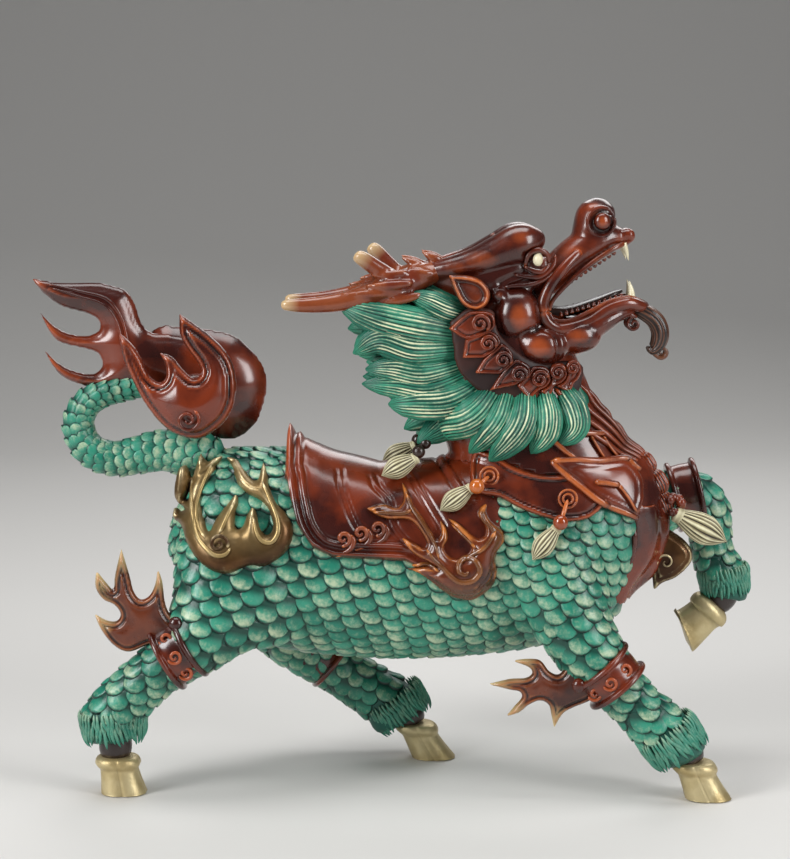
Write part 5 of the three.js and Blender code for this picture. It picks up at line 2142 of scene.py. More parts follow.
@dataclass
class Harness:
    """Breast band, breast plate and straps, with rings, beads and tassels."""

    BAND_CUT = Carving(
        thick=3.0, edge=2.2, run=0.9, lip=0.7, lip_at=1.2, groove=0.9, groove_at=2.7, second=0.0
    )
    PLATE_CUT = Carving(thick=2.4, edge=1.6, run=0.9, lip=0.0, groove=0.5, groove_at=3.0, second=0.0)
    # the straps and edgings: points as x and z, and radius
    EDGINGS = (
        (((68.0, 149.7), (79.0, 149.9), (89.0, 149.0), (101.4, 149.0), (104.8, 146.8), (108.4, 143.6)), 1.5),
        (((67.8, 149.8), (72.7, 145.3), (80.1, 139.1), (88.3, 132.8), (95.0, 129.0), (103.3, 125.6),
          (106.4, 123.2)), 1.6),
        (((64.6, 161.6), (70.0, 157.3), (74.4, 153.6), (79.6, 149.8)), 1.4),
        (((86.9, 140.5), (92.4, 139.9), (98.6, 138.7)), 1.5),
        (((97.4, 139.4), (102.1, 133.1), (106.1, 126.1)), 0.9),
        (((75.0, 161.7), (83.6, 160.8), (93.0, 160.2)), 1.3),
        (((85.7, 159.8), (89.2, 154.2), (92.3, 149.5)), 0.8),
        (((91.2, 159.4), (95.3, 153.4), (98.8, 149.3)), 0.8),
    )
    # x and z of each ring and of the bead that hangs from it
    RINGS = ((41.1, 143.1, 35.5, 139.1), (75, 133.9, 71.6, 124.2))
    # share of a tassel's length and of its radius, for its body and for the binding at its top
    TASSEL = (
        (-0.06, 0.2), (0.0, 0.45), (0.16, 0.72), (0.4, 0.98), (0.62, 1.0), (0.82, 0.66), (0.95, 0.25),
        (1.02, 0.03),
    )
    BINDING = ((-0.12, 0.1), (-0.08, 0.5), (0.0, 0.56), (0.06, 0.5), (0.1, 0.1))
    # x and z of each tassel's knot and of its tip
    HUNG = (((32.5, 137.4), (19.8, 128.6)), ((69.6, 120.6), (59.6, 108.4)))

    def on_flank(
        self, points: Sequence[Row], radius: float, carrier: Carrier, side: Side, lift: float = 0.9
    ) -> Sweep:
        """A raised moulding that follows the flank.

        Args:
            points: x and z of the points that it passes through.
            radius: Half its width.
            carrier: What it lies on.
            side: The flank.
            lift: How far its middle stands off the surface.

        Returns:
            The moulding.
        """
        rows = []
        for x, z in sampled(points, 5):
            y, away = carrier.even_flank(x, z, side, 0.8)
            rows.append((*(Vector((x, y, z)) + away * lift), 1.6, radius))
        return Sweep(rows, sides=14, steps=1, power=2.8, taper=0.1)

    def bands(self, carrier: Carrier, covered_carrier: Carrier) -> tuple[list[Form], list[Form]]:
        """The leather of the band and the plate, with what is raised on it.

        Args:
            carrier: The skin and the saddle, which the band lies on.
            covered_carrier: The same with the neck's leather, which the plate lies on.

        Returns:
            The flat leather and its edgings, straps and bars.
        """
        flats, edgings = [], []
        for side in Side:
            band = CarvedPlate(BREAST_BAND, self.BAND_CUT, 0.72)
            plate = CarvedPlate(BREAST_PLATE, self.PLATE_CUT, 0.85)
            flats += [band.laid(carrier, side, soft=2.0), plate.laid(covered_carrier, side, soft=2.0)]
        plates = joined([flat.copy() for flat in flats])
        top = Carrier.over(plates, covered_carrier)
        plates.free()
        for side in Side:
            bars = [self.on_flank(points, radius, top, side) for points, radius in self.EDGINGS]
            edging = mark_relief(swept(bars), gain=1.2)
            # Faces that turn sideways get more crest colour, a painted highlight along the straps and
            # edgings.
            edging.normal_update()
            crest = edging.verts.layers.float["crest"]
            for vert in edging.verts:
                vert[crest] = max(vert[crest], 0.6 * vert.normal.y**2)
            edgings.append(edging)
        return flats, edgings

    def rings(self, carrier: Carrier) -> tuple[Form, Form]:
        """What hangs from the band.

        Args:
            carrier: The skin and the harness.

        Returns:
            The ring mounts with their hooks, and the amber beads.
        """
        mounts, beads = [], bmesh.new()
        for side in Side:
            for x, z, bead_x, bead_z in self.RINGS:
                y = carrier.flank(x, z, side)[0] + side.value * 2.6
                for radius in (3.9, 2.1):
                    loop = [
                        (x + radius * math.cos(turn), y, z + radius * math.sin(turn), 0.55, 0.55)
                        for turn in np.linspace(0, math.tau, 17)
                    ]
                    mounts.append(Sweep(loop, sides=7, steps=2))
                bead_y = carrier.flank(bead_x, bead_z, side)[0] + side.value * 4.2
                between = ((x + bead_x) / 2, (y + bead_y) / 2 + side.value * 0.6, (z + bead_z) / 2)
                mounts.append(cord([(x, y, z), between, (bead_x, bead_y, bead_z)], 1.0))
                ball(beads, (bead_x, bead_y, bead_z), (3.4, 3.4, 3.4))
        return mark_relief(swept(mounts)), beads

    def tassel(self, knot: Vector, tip: Vector, radius: float) -> list[Sweep]:
        """A ridged tassel.

        Args:
            knot: Its upper end.
            tip: Its lower end.
            radius: Its greatest radius.

        Returns:
            The tassel and the binding at its top.
        """
        across = tuple((tip - knot).normalized().orthogonal())
        body, binding = (turned(knot, tip, radius, profile) for profile in (self.TASSEL, self.BINDING))
        return [
            Sweep(body, sides=84, steps=5, across=across, ridges=17, ridge_rise=0.16),
            Sweep(binding, sides=24, steps=4, across=across),
        ]

    def tassels(self, carrier: Carrier) -> Form:
        """The tassels of both flanks and the crest.

        Args:
            carrier: The skin and the harness.

        Returns:
            The tassels.
        """
        found = []
        for side in Side:
            for ends in self.HUNG:
                knot, tip = (
                    Vector((x, carrier.flank(x, z, side)[0] + side.value * out, z))
                    for (x, z), out in zip(ends, (4.2, 3.4), strict=True)
                )
                found += self.tassel(knot, tip, 4.5)
            high = Vector((8.6, side.value * 20, 149.4))
            found += self.tassel(high, Vector((-5.6, side.value * 22, 142.2)), 4.9)
        return mark_relief(swept(found), gain=3.5)

    def crest_beads(self) -> Form:
        """The beads beside the crest, two on each side.

        Returns:
            The beads.
        """
        shape = bmesh.new()
        for side in Side:
            ball(shape, (10.4, side.value * 20.5, 152.4), (2.9, 2.9, 2.9))
            ball(shape, (13.4, side.value * 16, 155.6), (2.6, 2.6, 2.6))
        return shape

    def build(self, carrier: Carrier, covered_carrier: Carrier) -> None:
        """The whole harness.

        Args:
            carrier: The skin and the saddle.
            covered_carrier: The same with the neck's leather.
        """
        flats, edgings = self.bands(carrier, covered_carrier)
        leather = joined([flat.copy() for flat in flats])
        top = Carrier.over(leather, carrier)
        leather.free()
        piece(joined(flats), "breast_harness", LACQUER)
        mounts, beads = self.rings(top)
        piece(joined([*edgings, mounts]), "harness_edging", RIM_LACQUER)
        piece(closed(beads), "beads", AMBER)
        piece(self.crest_beads(), "crest_beads", DARK)
        piece(self.tassels(top), "tassels", CREAM)


@dataclass
class Breast:
    """The throat's ridged cords, and the knots and pendants on the chest."""

    CORDS = (-1.15, -0.88, -0.62, -0.36, -0.12, 0.12, 0.36, 0.62, 0.88, 1.15)  # their turns round the neck
    # start, end and radius of each braid knot, and a knot's share of the length and of the radius
    KNOTS = (
        ((108.5, -2, 149), (114.5, -4, 140), 5.2), ((113.5, -4, 141.5), (119.4, -6, 131.4), 5.6),
        ((117.2, -6, 132.2), (121.6, -8, 122.8), 5.2),
    )
    KNOT = ((-0.05, 0.5), (0.2, 0.92), (0.5, 1.0), (0.8, 0.92), (1.05, 0.5))
    LEAF = (
        (110.3, 118.7, 1), (116.6, 118.6), (123.4, 115), (129.6, 110.6), (133.2, 105.4), (132.4, 100),
        (126.4, 93.8), (119.8, 90.8), (116.4, 87.2, 1), (115.4, 94), (114, 101), (111.6, 110),
    )
    LEAF_CUT = Carving(thick=3.2, edge=0.8, run=3.0, lip=0.5, lip_at=0.9, groove=0.3, groove_at=2.0)

    def throat(self, carrier: Carrier) -> Form:
        """Cords that run down the front of the neck.

        Args:
            carrier: The skin and the leather.

        Returns:
            The cords.
        """
        found = []
        for share in self.CORDS:
            rows = []
            for run in np.linspace(0, 1, 13):
                x = 78 + 32 * run
                z = 184 - 36 * run - 3.5 * math.sin(run * math.pi)
                lean = share * (1 - 0.55 * run)
                way = Vector((math.cos(lean) * 0.85, math.sin(lean), 0.4 * math.cos(lean))).normalized()
                spot = carrier.outermost(Vector((x - 22, 0, z - 10)), way)
                rows.append((*(spot + way * 0.5), 1.5, 1.2))
            found.append(Sweep(rows, sides=9, steps=4, taper=0.15))
        return mark_relief(swept(found))

    def knots(self) -> Form:
        """Ridged braid knots in front of the chest and the berries at their end.

        Returns:
            The knots and the berries.
        """
        braids = [
            Sweep(turned(Vector(start), Vector(end), radius, self.KNOT), sides=96, steps=4, ridges=22,
                  ridge_rise=0.16, taper=0.1)
            for start, end, radius in self.KNOTS
        ]
        berries = bmesh.new()
        for i in range(9):
            angle = i * 2.4
            spot = (124.6 + 3.0 * math.cos(angle), -10 - 1.6 * math.sin(i), 127.2 + 3.4 * math.sin(angle))
            ball(berries, spot, (2.1, 2.1, 2.1), 14)
        return joined([mark_relief(swept(braids)), berries])

    def tassel(self) -> Form:
        """The big cream tassel beside the raised leg."""
        body = Harness().tassel(Vector((126.4, -10, 122.4)), Vector((147.6, -9, 110.6)), 6.6)
        return mark_relief(swept(body), gain=3.5)

    def leaf(self) -> Form:
        """The bronze leaf that hangs in front of the chest.

        Returns:
            The leaf and its ring.
        """
        plate = CarvedPlate(self.LEAF, self.LEAF_CUT, 0.75)
        leaf = plate.standing(lambda x, z: -5.0 - 1.2 * math.cos((z - 104) / 9))
        return joined([leaf, mark_relief(swept([coil((121, -9.6, 101.2), 4.0, 0.7, 1.2, 200, -1, -0.4)]))])

    def build(self, carrier: Carrier) -> None:
        """Everything on the throat and the chest.

        Args:
            carrier: The skin and the leather.
        """
        piece(joined([self.throat(carrier), self.knots()]), "throat_and_chest", LACQUER)
        piece(self.tassel(), "chest_tassel", CREAM)
        piece(self.leaf(), "chest_leaf", BRONZE)


MANE_LOCKS = (
    # root, first bend, second bend and tip as x and z, then the width and the rank from the skin out
    (((33, 211.5), (23, 214.8), (15, 218.4), (4.9, 221.8)), 11.0, 1.0),
    (((33, 203), (10, 207.2), (-8, 211.4), (-25, 217)), 18.0, 0.6),
    (((33, 198), (9, 197.6), (-6.5, 201.6), (-18.4, 195.4)), 15.5, 0.9),
    (((34, 191), (13, 186.4), (-1, 188.4), (-13, 188.6)), 13.5, 0.4),
    (((36, 187), (16, 179.8), (0, 181.4), (-14.6, 182)), 13.0, 0.0),
    (((42, 184), (25, 174.8), (8.5, 173.6), (-3, 173)), 16.0, 0.8),
    (((46, 182), (34.8, 169), (22, 163.2), (9.8, 155.8)), 17.0, 1.0),
    (((51, 182), (46, 168.4), (40.2, 160.6), (32.6, 151.6)), 13.0, 0.6),
    (((58, 181), (55.6, 167.4), (50, 158.4), (41.2, 148.8)), 15.0, 1.1),
    (((65, 181), (66.6, 168.4), (65, 160.6), (59.2, 152.4)), 13.5, 0.8),
    (((73, 181), (78, 171), (78.2, 163), (71.4, 156.2)), 13.5, 1.0),
)
NAPE_LOCKS = (
    (((31, 214), (14, 214), (-4, 214), (-20, 214)), 15.0, 0.0),
    (((31, 204), (12, 204), (-6, 207), (-21, 205)), 17.0, 0.2),
    (((35, 193), (16, 193), (0, 196), (-16, 193)), 16.0, 0.0),
    (((38, 184), (20, 180), (6, 181), (-9, 178)), 15.0, 0.2),
    (((44, 176), (30, 168), (16, 166), (4, 160)), 15.0, 0.0),
)


@dataclass
class Mane:
    """Broad curved locks that sweep back and down from the collar, grooved like combed hair.

    Attributes:
        strands: Ridges round a lock of the near side that has the full width.
        plain: Ridges round a lock that is hidden or on the far side.
        thick: Half-thickness of a lock as a share of its width.
    """

    strands: int = 28
    plain: int = 15
    thick: float = 0.46

    FULL_WIDTH = 17.0  # width of a lock that has all the strands
    # how a lock's width changes along it: share of its length and share of its width
    ALONG = (0, 0.12, 0.34, 0.62, 0.82, 0.94, 1.0)
    WIDTHS = (0.5, 0.74, 1.0, 0.96, 0.68, 0.34, 0.05)
    INNER_SHIFT = (1.5, 3.5)  # how far the hidden locks lie inside the ones that show
    INNER_DEPTHS = (8, 10, 10, 9)

    def reach(self, carrier: Carrier, x: float, z: float, side: Side) -> float:
        """How far from the middle plane the neck or the saddle reaches.

        Args:
            carrier: The skin with all that lies on it.
            x: Place along the figure.
            z: Height.
            side: The flank.

        Returns:
            The distance, at most 24 mm.
        """
        start = Vector((x, side.value * 60, z))
        spot, _, _, _ = carrier.tree.ray_cast(start, Vector((0, -side.value, 0)))
        return min(abs(spot.y), 24.0) if spot is not None else 14.5

    def lock(
        self, points: Sequence[Row], width: float, ys: Sequence[float], strands: int, steps: int
    ) -> Sweep:
        """One lock that leaves the neck and lies back along it.

        Args:
            points: Root, two bends and tip as x and z.
            width: Greatest width.
            ys: y of the root, the bends and the tip.
            strands: Ridges round it.
            steps: Rings for each of its three spans.

        Returns:
            The lock.
        """
        curve = sampled([(x, y, z) for (x, z), y in zip(points, ys, strict=True)], steps)
        sizes = np.interp(np.linspace(0, 1, len(curve)), self.ALONG, self.WIDTHS)
        rows = [
            (*spot, width * self.thick * size, width / 2 * size)
            for spot, size in zip(curve, sizes, strict=True)
        ]
        return Sweep(rows, sides=strands * 4, steps=1, ridges=strands, ridge_rise=0.15, fading=True)

    def build(self, carrier: Carrier) -> None:
        """The locks of both sides and of the nape; the far side's are plainer.

        Args:
            carrier: The skin with all that lies on it.
        """
        shift_x, shift_z = self.INNER_SHIFT
        for side in Side:
            locks = []
            near = side is Side.NEAR
            for points, width, rank in MANE_LOCKS:
                lifts = (-8.5, 2.5 + rank * 1.5, 2.5 + rank * 1.5, 1.5 + rank)
                ys = [
                    side.value * max(self.reach(carrier, x, z, side) + lift, 11)
                    for (x, z), lift in zip(points, lifts, strict=True)
                ]
                full = round(self.strands * (0.55 + 0.45 * width / self.FULL_WIDTH))
                strands, steps = (full, 9) if near else (self.plain, 6)
                locks.append(self.lock(points, width, ys, strands, steps))
                inner = [(x + shift_x, z + shift_z) for x, z in points]
                depths = [side.value * y for y in self.INNER_DEPTHS]
                locks.append(self.lock(inner, width * 0.9, depths, 11, 4))
            piece(mark_relief(swept(locks), gain=0.35), f"mane_{side.name.lower()}", MANE_PAINT)
        nape = [self.lock(points, width, (0, 0, 0, 0), self.plain, 6) for points, width, _ in NAPE_LOCKS]
        piece(mark_relief(swept(nape), gain=0.35), "mane_nape", MANE_PAINT)


COLLAR_CELLS = (
    # a curl's x, z and radius, then the outline of its cell
    ((36.9, 209.3, 4.4), ((23.2, 206.9, 1), (29.1, 212.3), (33.5, 214.6), (42.2, 213.6), (43.2, 207.2),
                          (37.2, 203.8), (30.6, 202.4))),
    ((40.4, 200.6, 3.8), ((29.3, 194.0, 1), (30.6, 202.4, 2), (36, 204.4), (41.6, 206.2), (46, 201.8),
                          (43.4, 197.2), (38.6, 194.1, 2))),
    ((47.0, 193.4, 3.9), ((34.5, 187.3, 1), (38.6, 194.1, 2), (43.4, 198.2), (46.8, 200.6), (51.2, 196.2),
                          (50.2, 191), (45.7, 187, 2))),
    ((53.9, 187.0, 3.9), ((41.2, 179.8, 1), (45.7, 187, 2), (49.6, 191.6), (53.4, 193.6), (58.8, 190.4),
                          (58.6, 186), (52.6, 182.2, 2))),
    ((63.2, 184.8, 4.0), ((58.7, 175.4, 1), (52.8, 182.2, 2), (57.8, 187.2), (60.4, 190.4), (66.6, 189.6),
                          (68.4, 184.8), (66.4, 181.2), (62.7, 179.5, 2))),
    ((71.2, 187.5, 3.6), ((68.0, 175.8, 1), (62.9, 179.5, 2), (66.8, 181.8), (68.4, 185.6), (68.6, 190.8),
                          (73.8, 191.2), (75.8, 187), (73.6, 183), (69.8, 181.5, 2))),
    ((78.0, 189.4, 3.0), ((77.0, 177.8, 1), (70.0, 181.5, 2), (73.8, 183.4), (75.6, 187.6), (75.8, 191.8),
                          (80.2, 192.2), (82, 188.2), (80.6, 184.2), (78.6, 182.4, 2))),
)
COLLAR_BED = (
    (23.6, 209.5), (25.2, 200.5), (26.6, 191.2), (31, 184.4), (39.8, 177.4), (50.3, 175.6), (54.7, 172.4),
    (61.2, 174), (65.6, 173), (70, 174), (76.5, 175.6), (81.4, 179.2), (82.6, 189.6), (75, 192.2),
    (66, 191.4), (57.6, 194), (51, 198.8), (45.8, 204.4), (43.6, 210.4), (42.6, 214.6), (33, 216),
)


@dataclass
class Collar:
    """A ruff of pointed leaves along the jaw, from the ear to the throat, with a spiral curl in each.

    Attributes:
        leaf: How a leaf rises from its edge.
        bed: How the dark ground under the leaves rises; its dark paint is partly painted shade between the
            leaves and the mane.
    """

    leaf: Carving = Carving(
        thick=2.4, edge=2.2, run=1.2, lip=0.7, lip_at=0.6, groove=0.7, groove_at=1.8, second=0.0
    )
    bed: Carving = Carving(thick=3.4, edge=2.4, run=1.6, lip=0.0, groove=0.0, second=0.0)

    def reach(self, x: float) -> float:
        """How far the leaves' middle stands from the middle plane at a length."""
        return 23.4 - max(0.0, x - 55) * 0.3

    def dulled(self, leaf: Form, tip: Row) -> None:
        """Takes most of the crest paint off a leaf, but for its tip.

        Args:
            leaf: The leaf, changed in place.
            tip: x and z of its tip.
        """
        crest = leaf.verts.layers.float["crest"]
        for vert in leaf.verts:
            gap = math.hypot(vert.co.x - tip[0], vert.co.z - tip[1])
            vert[crest] *= 0.45 + 0.55 * math.exp(-((gap / 4.5) ** 2))

    def build(self) -> None:
        """The leaves, curls and ground of both sides."""
        leaves, grounds = [], []
        for side in Side:
            curls = []
            for (x, z, radius), corners in COLLAR_CELLS:
                y = side.value * self.reach(x)
                start = math.degrees(math.atan2(corners[0][1] - z, corners[0][0] - x)) + 120
                eye = (x, y + side.value * 3.2, z)
                curls.append(coil(eye, radius * 0.95, 1.15, 1.7, start, 1, side.value * 1.4))
                blade = CarvedPlate(corners, self.leaf, 0.6)
                leaf = blade.standing(lambda x, z, side=side: side.value * self.reach(x))
                self.dulled(leaf, corners[0])
                leaves.append(leaf)
            leaves.append(mark_relief(swept(curls), gain=0.8))
            # The dark ground stands partly for the shade between the leaves and the mane.
            ground = CarvedPlate(COLLAR_BED, self.bed, 0.9)
            grounds.append(ground.standing(lambda x, z, side=side: side.value * (self.reach(x) - 3.0)))
        piece(joined(leaves), "collar_curls", LACQUER)
        piece(joined(grounds), "collar_ground", DARK_LACQUER)


@dataclass
class Head:
    """The dragon's head: skull, open jaws, brows, cheeks, ears, eyes and teeth."""

    voxel: float = 0.8

    # x, y, z and half-sizes across and deep along each bone on the middle plane
    SKULL = (
        (4, 0, 229, 8, 5), (16, 0, 227.5, 14, 8.5), (34, 0, 226, 18.5, 12), (50, 0, 228, 19, 14.5),
        (60, 0, 227, 17.5, 12.4), (66, 0, 225, 15, 9), (70, 0, 224, 9, 5),
    )
    MUZZLE = (
        (60, 0, 223, 14, 7), (66, 0, 226.5, 15, 8.8), (72, 0, 231, 14, 8.2), (80, 0, 238, 12.6, 8.2),
        (88, 0, 243, 11.4, 8.4), (95, 0, 245.5, 9.4, 6.8), (101, 0, 244.8, 6.4, 4.4),
        (104, 0, 243.8, 3.4, 2.2),
    )
    NOSE = (
        (83, 0, 240, 9, 6.4), (85.4, 0, 247, 10.6, 7.8), (88.4, 0, 253.6, 10.8, 9.0),
        (90.4, 0, 258.6, 9.2, 7.6), (91.2, 0, 261.4, 5.8, 5.0), (91.6, 0, 262.8, 2.6, 2.4),
    )
    JAW = (
        (40, 0, 207, 15, 10), (52, 0, 205.5, 18.5, 14), (64, 0, 203.5, 16.4, 12), (74, 0, 201, 14.6, 10),
        (82, 0, 203, 12.6, 8), (90, 0, 209, 10.4, 5.0), (98, 0, 214.4, 8.6, 3.6), (105, 0, 216.4, 6.6, 3.0),
        (109, 0, 216, 3.5, 2.0),
    )
    NAPE = ((26, 0, 222, 14, 10), (40, 0, 214, 19, 16), (54, 0, 214, 18.4, 14), (66, 0, 216, 13, 8))
    # the same for what stands on both sides
    BROW = (
        (6, 8, 229.4, 5, 4.2), (20, 11, 231.6, 6.6, 5.6), (34, 12.4, 234.8, 7.8, 6.6),
        (45, 13.0, 239.2, 8.6, 7.8), (54.6, 13.0, 243.4, 8.9, 9.0), (61.4, 12.2, 244.2, 6.8, 7.2),
        (65.6, 11.6, 242.8, 3.4, 3.8),
    )
    LIP = (
        (70, 8.6, 200, 7, 6), (80, 9.6, 203, 8, 6.6), (90, 8.8, 207.8, 6.8, 5.2), (99, 6.8, 212.0, 5.0, 3.6),
        (107, 4.0, 213.4, 3.0, 2.2),
    )
    NOSTRIL = ((87, 7.6, 247, 3, 3), (90.8, 7.6, 252.8, 4.8, 6.2), (93.6, 6.4, 257.4, 3, 3))
    SNOUT = ((99, 4.4, 246.6, 2.4, 2.4), (103.2, 3.6, 246.8, 3.2, 3.0), (104.2, 2.4, 243, 2, 2))
    # middle, half-sizes and faces round each swelling: cheek, jowl, chin, temple and nostril
    SWELLINGS = (
        ((53.2, 16.0, 212.0), (11.2, 9.8, 12.0), 32), ((64.2, 15.0, 198.8), (12.0, 9.6, 9.2), 32),
        ((80.0, 11.4, 202.6), (10.8, 8.0, 7.8), 32), ((45.8, 18.2, 221.2), (4.2, 3.6, 3.4), 24),
        ((90.6, 10.4, 252.9), (4.1, 3.4, 4.4), 24),
    )
    # points as x and z, width and depth of each crease pressed into the face
    CREASES = (
        (
            ((57.0, 238.6), (61.0, 239.8), (65.4, 237.6), (66.6, 233.6), (62.6, 231.4), (58.2, 232.8)),
            1.6, 1.5,
        ),
        (((46, 226.4), (52, 229.6), (57, 231.8)), 1.5, 1.3),
        (((50.1, 225.2), (56.6, 227.4), (62.6, 229.6), (67.4, 233.4)), 1.3, 1.0),
        (((61.4, 222.6), (62.8, 214.0), (63.6, 207.8), (57.6, 205.0), (50.0, 200.6)), 1.3, 1.6),
        (((63.8, 207.4), (69.6, 204.6), (71.4, 199.4), (70.8, 192)), 1.3, 1.5),
        (((69.6, 205.2), (76.6, 207.4), (84, 211.4)), 1.1, 1.0),
        (((46, 221.8), (44.4, 213.6), (46.6, 204.4), (52.8, 198.2), (56.4, 192.8)), 1.3, 1.0),
    )
    EYE = (62.2, 236.4)
    NOSE_HOLE = (91.0, 253.0)
    # x, z, half-sizes and strength of the orange highlight painted on each swell of the face
    PAINTED_HIGHLIGHTS = (
        (54.0, 212.0, 6.0, 8.4, 0.75), (62.4, 199.0, 7.0, 6.0, 0.7), (80.6, 203.4, 6.6, 4.6, 0.6),
        (38.0, 237.0, 11.0, 6.0, 0.55), (54.6, 246.6, 6.0, 5.0, 0.6), (26.0, 233.4, 8.0, 4.6, 0.45),
        (78.0, 239.6, 9.0, 4.2, 0.5), (87.0, 258.0, 4.6, 4.6, 0.45), (90.8, 252.9, 3.0, 3.2, 0.7),
        (99.0, 245.4, 4.0, 3.0, 0.5), (45.8, 221.2, 3.0, 2.4, 0.5),
    )
    # x, y and z along the rims of the mouth and along the broad lip, from the corner to the front
    UPPER_RIM = (
        (67.4, 14.8, 213.6), (69.4, 14.6, 219), (76.4, 13.8, 226.6), (85.2, 12.4, 234), (93.4, 10.8, 239.6),
        (98.2, 8.6, 242), (101.4, 5.0, 243), (102.6, 0, 243),
    )
    LOWER_RIM = (
        (67.4, 14.8, 213.6), (69.9, 14.8, 209.9), (76.9, 13.8, 209.8), (85.6, 11.8, 213.4),
        (94.4, 9.6, 217.6), (103.1, 7.2, 219.3), (107.6, 4.4, 217.8), (109.4, 0, 217),
    )
    BROAD_LIP = (
        (82, 10.6, 240.6), (75, 14.2, 234.0), (67.8, 16.6, 225), (64.8, 17.2, 217), (66.2, 16.8, 210.2),
        (70.4, 16.2, 206.4), (76, 15.2, 206.4), (85.6, 13.0, 209.2), (94.3, 10.6, 214.6),
        (103.1, 8.2, 216.8), (108.3, 5.0, 215.4), (110.2, 0, 214.8),
    )
    # x, y and z and the radius of the lids, the folds under the eye and along the brow, and the chin's fold
    LIDS = (
        (((56.6, 17.6, 233.4), (58.2, 18.2, 238.8), (62.6, 18.0, 240.8), (66.4, 16.8, 238.8),
          (67.4, 16.0, 234.6)), 1.25),
        (((56.2, 17.8, 233.8), (60.4, 18.0, 231.6), (64.4, 17.2, 231.4), (67.8, 16, 234.8)), 1.2),
        (((52, 18.4, 230.0), (57.6, 18.4, 229.2), (63.6, 17.2, 229.2), (69.0, 15.4, 233.6),
          (70.2, 14.2, 238.6)), 1.2),
        (((47.4, 18.8, 224.6), (52, 19.2, 225.2), (58, 18.8, 225.6), (64.4, 17, 227.4), (69.4, 15.2, 231.0)),
         1.1),
        (((28, 9.4, 236.4), (35, 10.0, 239.6), (42.4, 10.4, 244.4), (49, 11.4, 249.4), (55, 12.2, 251.6)),
         1.3),
        (((36, 7.4, 239.4), (40.6, 7.8, 243.0), (44.4, 8.4, 247.4)), 1.3),
    )
    CHIN_FOLD = (((98, 8, 212.6), (103.6, 6.6, 211.8), (107.4, 5.4, 210.4)), 1.2)
    EAR = (
        (23.2, 230.2, 1), (31, 230.0), (37.6, 227.8), (41.2, 222.8), (40.2, 217.6), (35.2, 214.8),
        (29.2, 217.4), (25.4, 223.8),
    )
    EAR_CUT = Carving(
        thick=0.9, edge=2.2, run=2.6, lip=1.5, lip_at=1.2, groove=0.6, groove_at=3.0, second=0.0
    )
    FANGS = (
        ((100.4, 6, 243, 1.7, 1.7), (101.8, 6, 239.8, 1.2, 1.2), (103, 6, 235.6, 0.1, 0.1)),
        ((104.4, 5.4, 217.4, 1.8, 1.8), (104.6, 5.6, 221.6, 1.3, 1.3), (103.6, 5.6, 226.6, 0.1, 0.1)),
    )
    # places and sizes of a small tooth's root, middle and tip, as x, z and half-size beside the gum
    UPPER_TOOTH = ((0, 0, 1.1), (0.3, -0.7, 0.9), (0.5, -1.2, 0.3))
    LOWER_TOOTH = ((0, 0, 1.0), (-0.1, 1.2, 0.8), (-0.2, 2.0, 0.2))
    TONGUE = (
        (64, 0, 213, 8, 3), (76, 0, 212.8, 8, 2.4), (88, 0, 216.6, 6.6, 2.0), (97, 0, 220.4, 4.4, 1.4),
        (101, 0, 222, 1, 0.6),
    )

    def bones(self) -> Form:
        """Runs the skull and the jaws together.

        Returns:
            The head's skin.
        """
        bodies = [
            Sweep(rows, sides=sides, steps=8, taper=taper)
            for rows, sides, taper in (
                (self.SKULL, 48, 0.12), (self.JAW, 40, 0.12), (self.NAPE, 40, 0.2), (self.MUZZLE, 40, 0.15),
                (self.NOSE, 36, 0.1),
            )
        ]
        for side in Side:
            bodies += [
                Sweep(on_side(rows, side), sides=sides, steps=steps, taper=taper)
                for rows, sides, steps, taper in (
                    (self.BROW, 24, 6, 0.2), (self.LIP, 24, 6, 0.2), (self.NOSTRIL, 24, 8, 0.3),
                    (self.SNOUT, 16, 6, 0.3),
                )
            ]
        shape = swept(bodies)
        for side in Side:
            for (x, y, z), halves, segments in self.SWELLINGS:
                ball(shape, (x, side.value * y, z), halves, segments)
        return fused(closed(shape), self.voxel, 5)

    def carve(self, skin: Form) -> None:
        """Presses the eye sockets, the folds round them and the creases between the cheeks into the skin.

        Args:
            skin: The skull's skin, changed in place.
        """
        places, normals, _ = arrays(skin)
        spots = places[:, [0, 2]]
        depth = np.zeros(len(spots))
        for points, width, deep in self.CREASES:
            depth = np.maximum(depth, deep * bell(line_distance(spots, sampled(points, 6)), 0, width))
        socket = np.linalg.norm((spots - np.array(self.EYE)) / np.array([1.15, 1.0]), axis=1)
        depth += 1.8 * np.exp(-((socket / 3.6) ** 4))
        nostril = np.linalg.norm(spots - np.array(self.NOSE_HOLE), axis=1)
        depth += 1.9 * bell(nostril, 5.0, 0.9)
        depth *= np.clip((np.abs(normals[:, 1]) - 0.25) / 0.4, 0, 1)
        for vert, normal, deep in zip(skin.verts, normals, depth, strict=True):
            vert.co -= Vector(normal) * float(deep)

    def paint_highlights(self, skin: Form) -> None:
        """Paints orange highlights on the broad swells of the face, stronger where the face turns sideways.

        Args:
            skin: The head's skin, whose crest layer is changed.
        """
        crest = skin.verts.layers.float["crest"]
        for vert in skin.verts:
            sidelong = abs(vert.normal.y)
            if sidelong < 0.1:
                continue
            for x, z, wide, tall, strength in self.PAINTED_HIGHLIGHTS:
                gap = ((vert.co.x - x) / wide) ** 2 + ((vert.co.z - z) / tall) ** 2
                if gap < 1:
                    vert[crest] = max(vert[crest], 0.85 * strength * (1 - gap) * min(1, sidelong * 2))

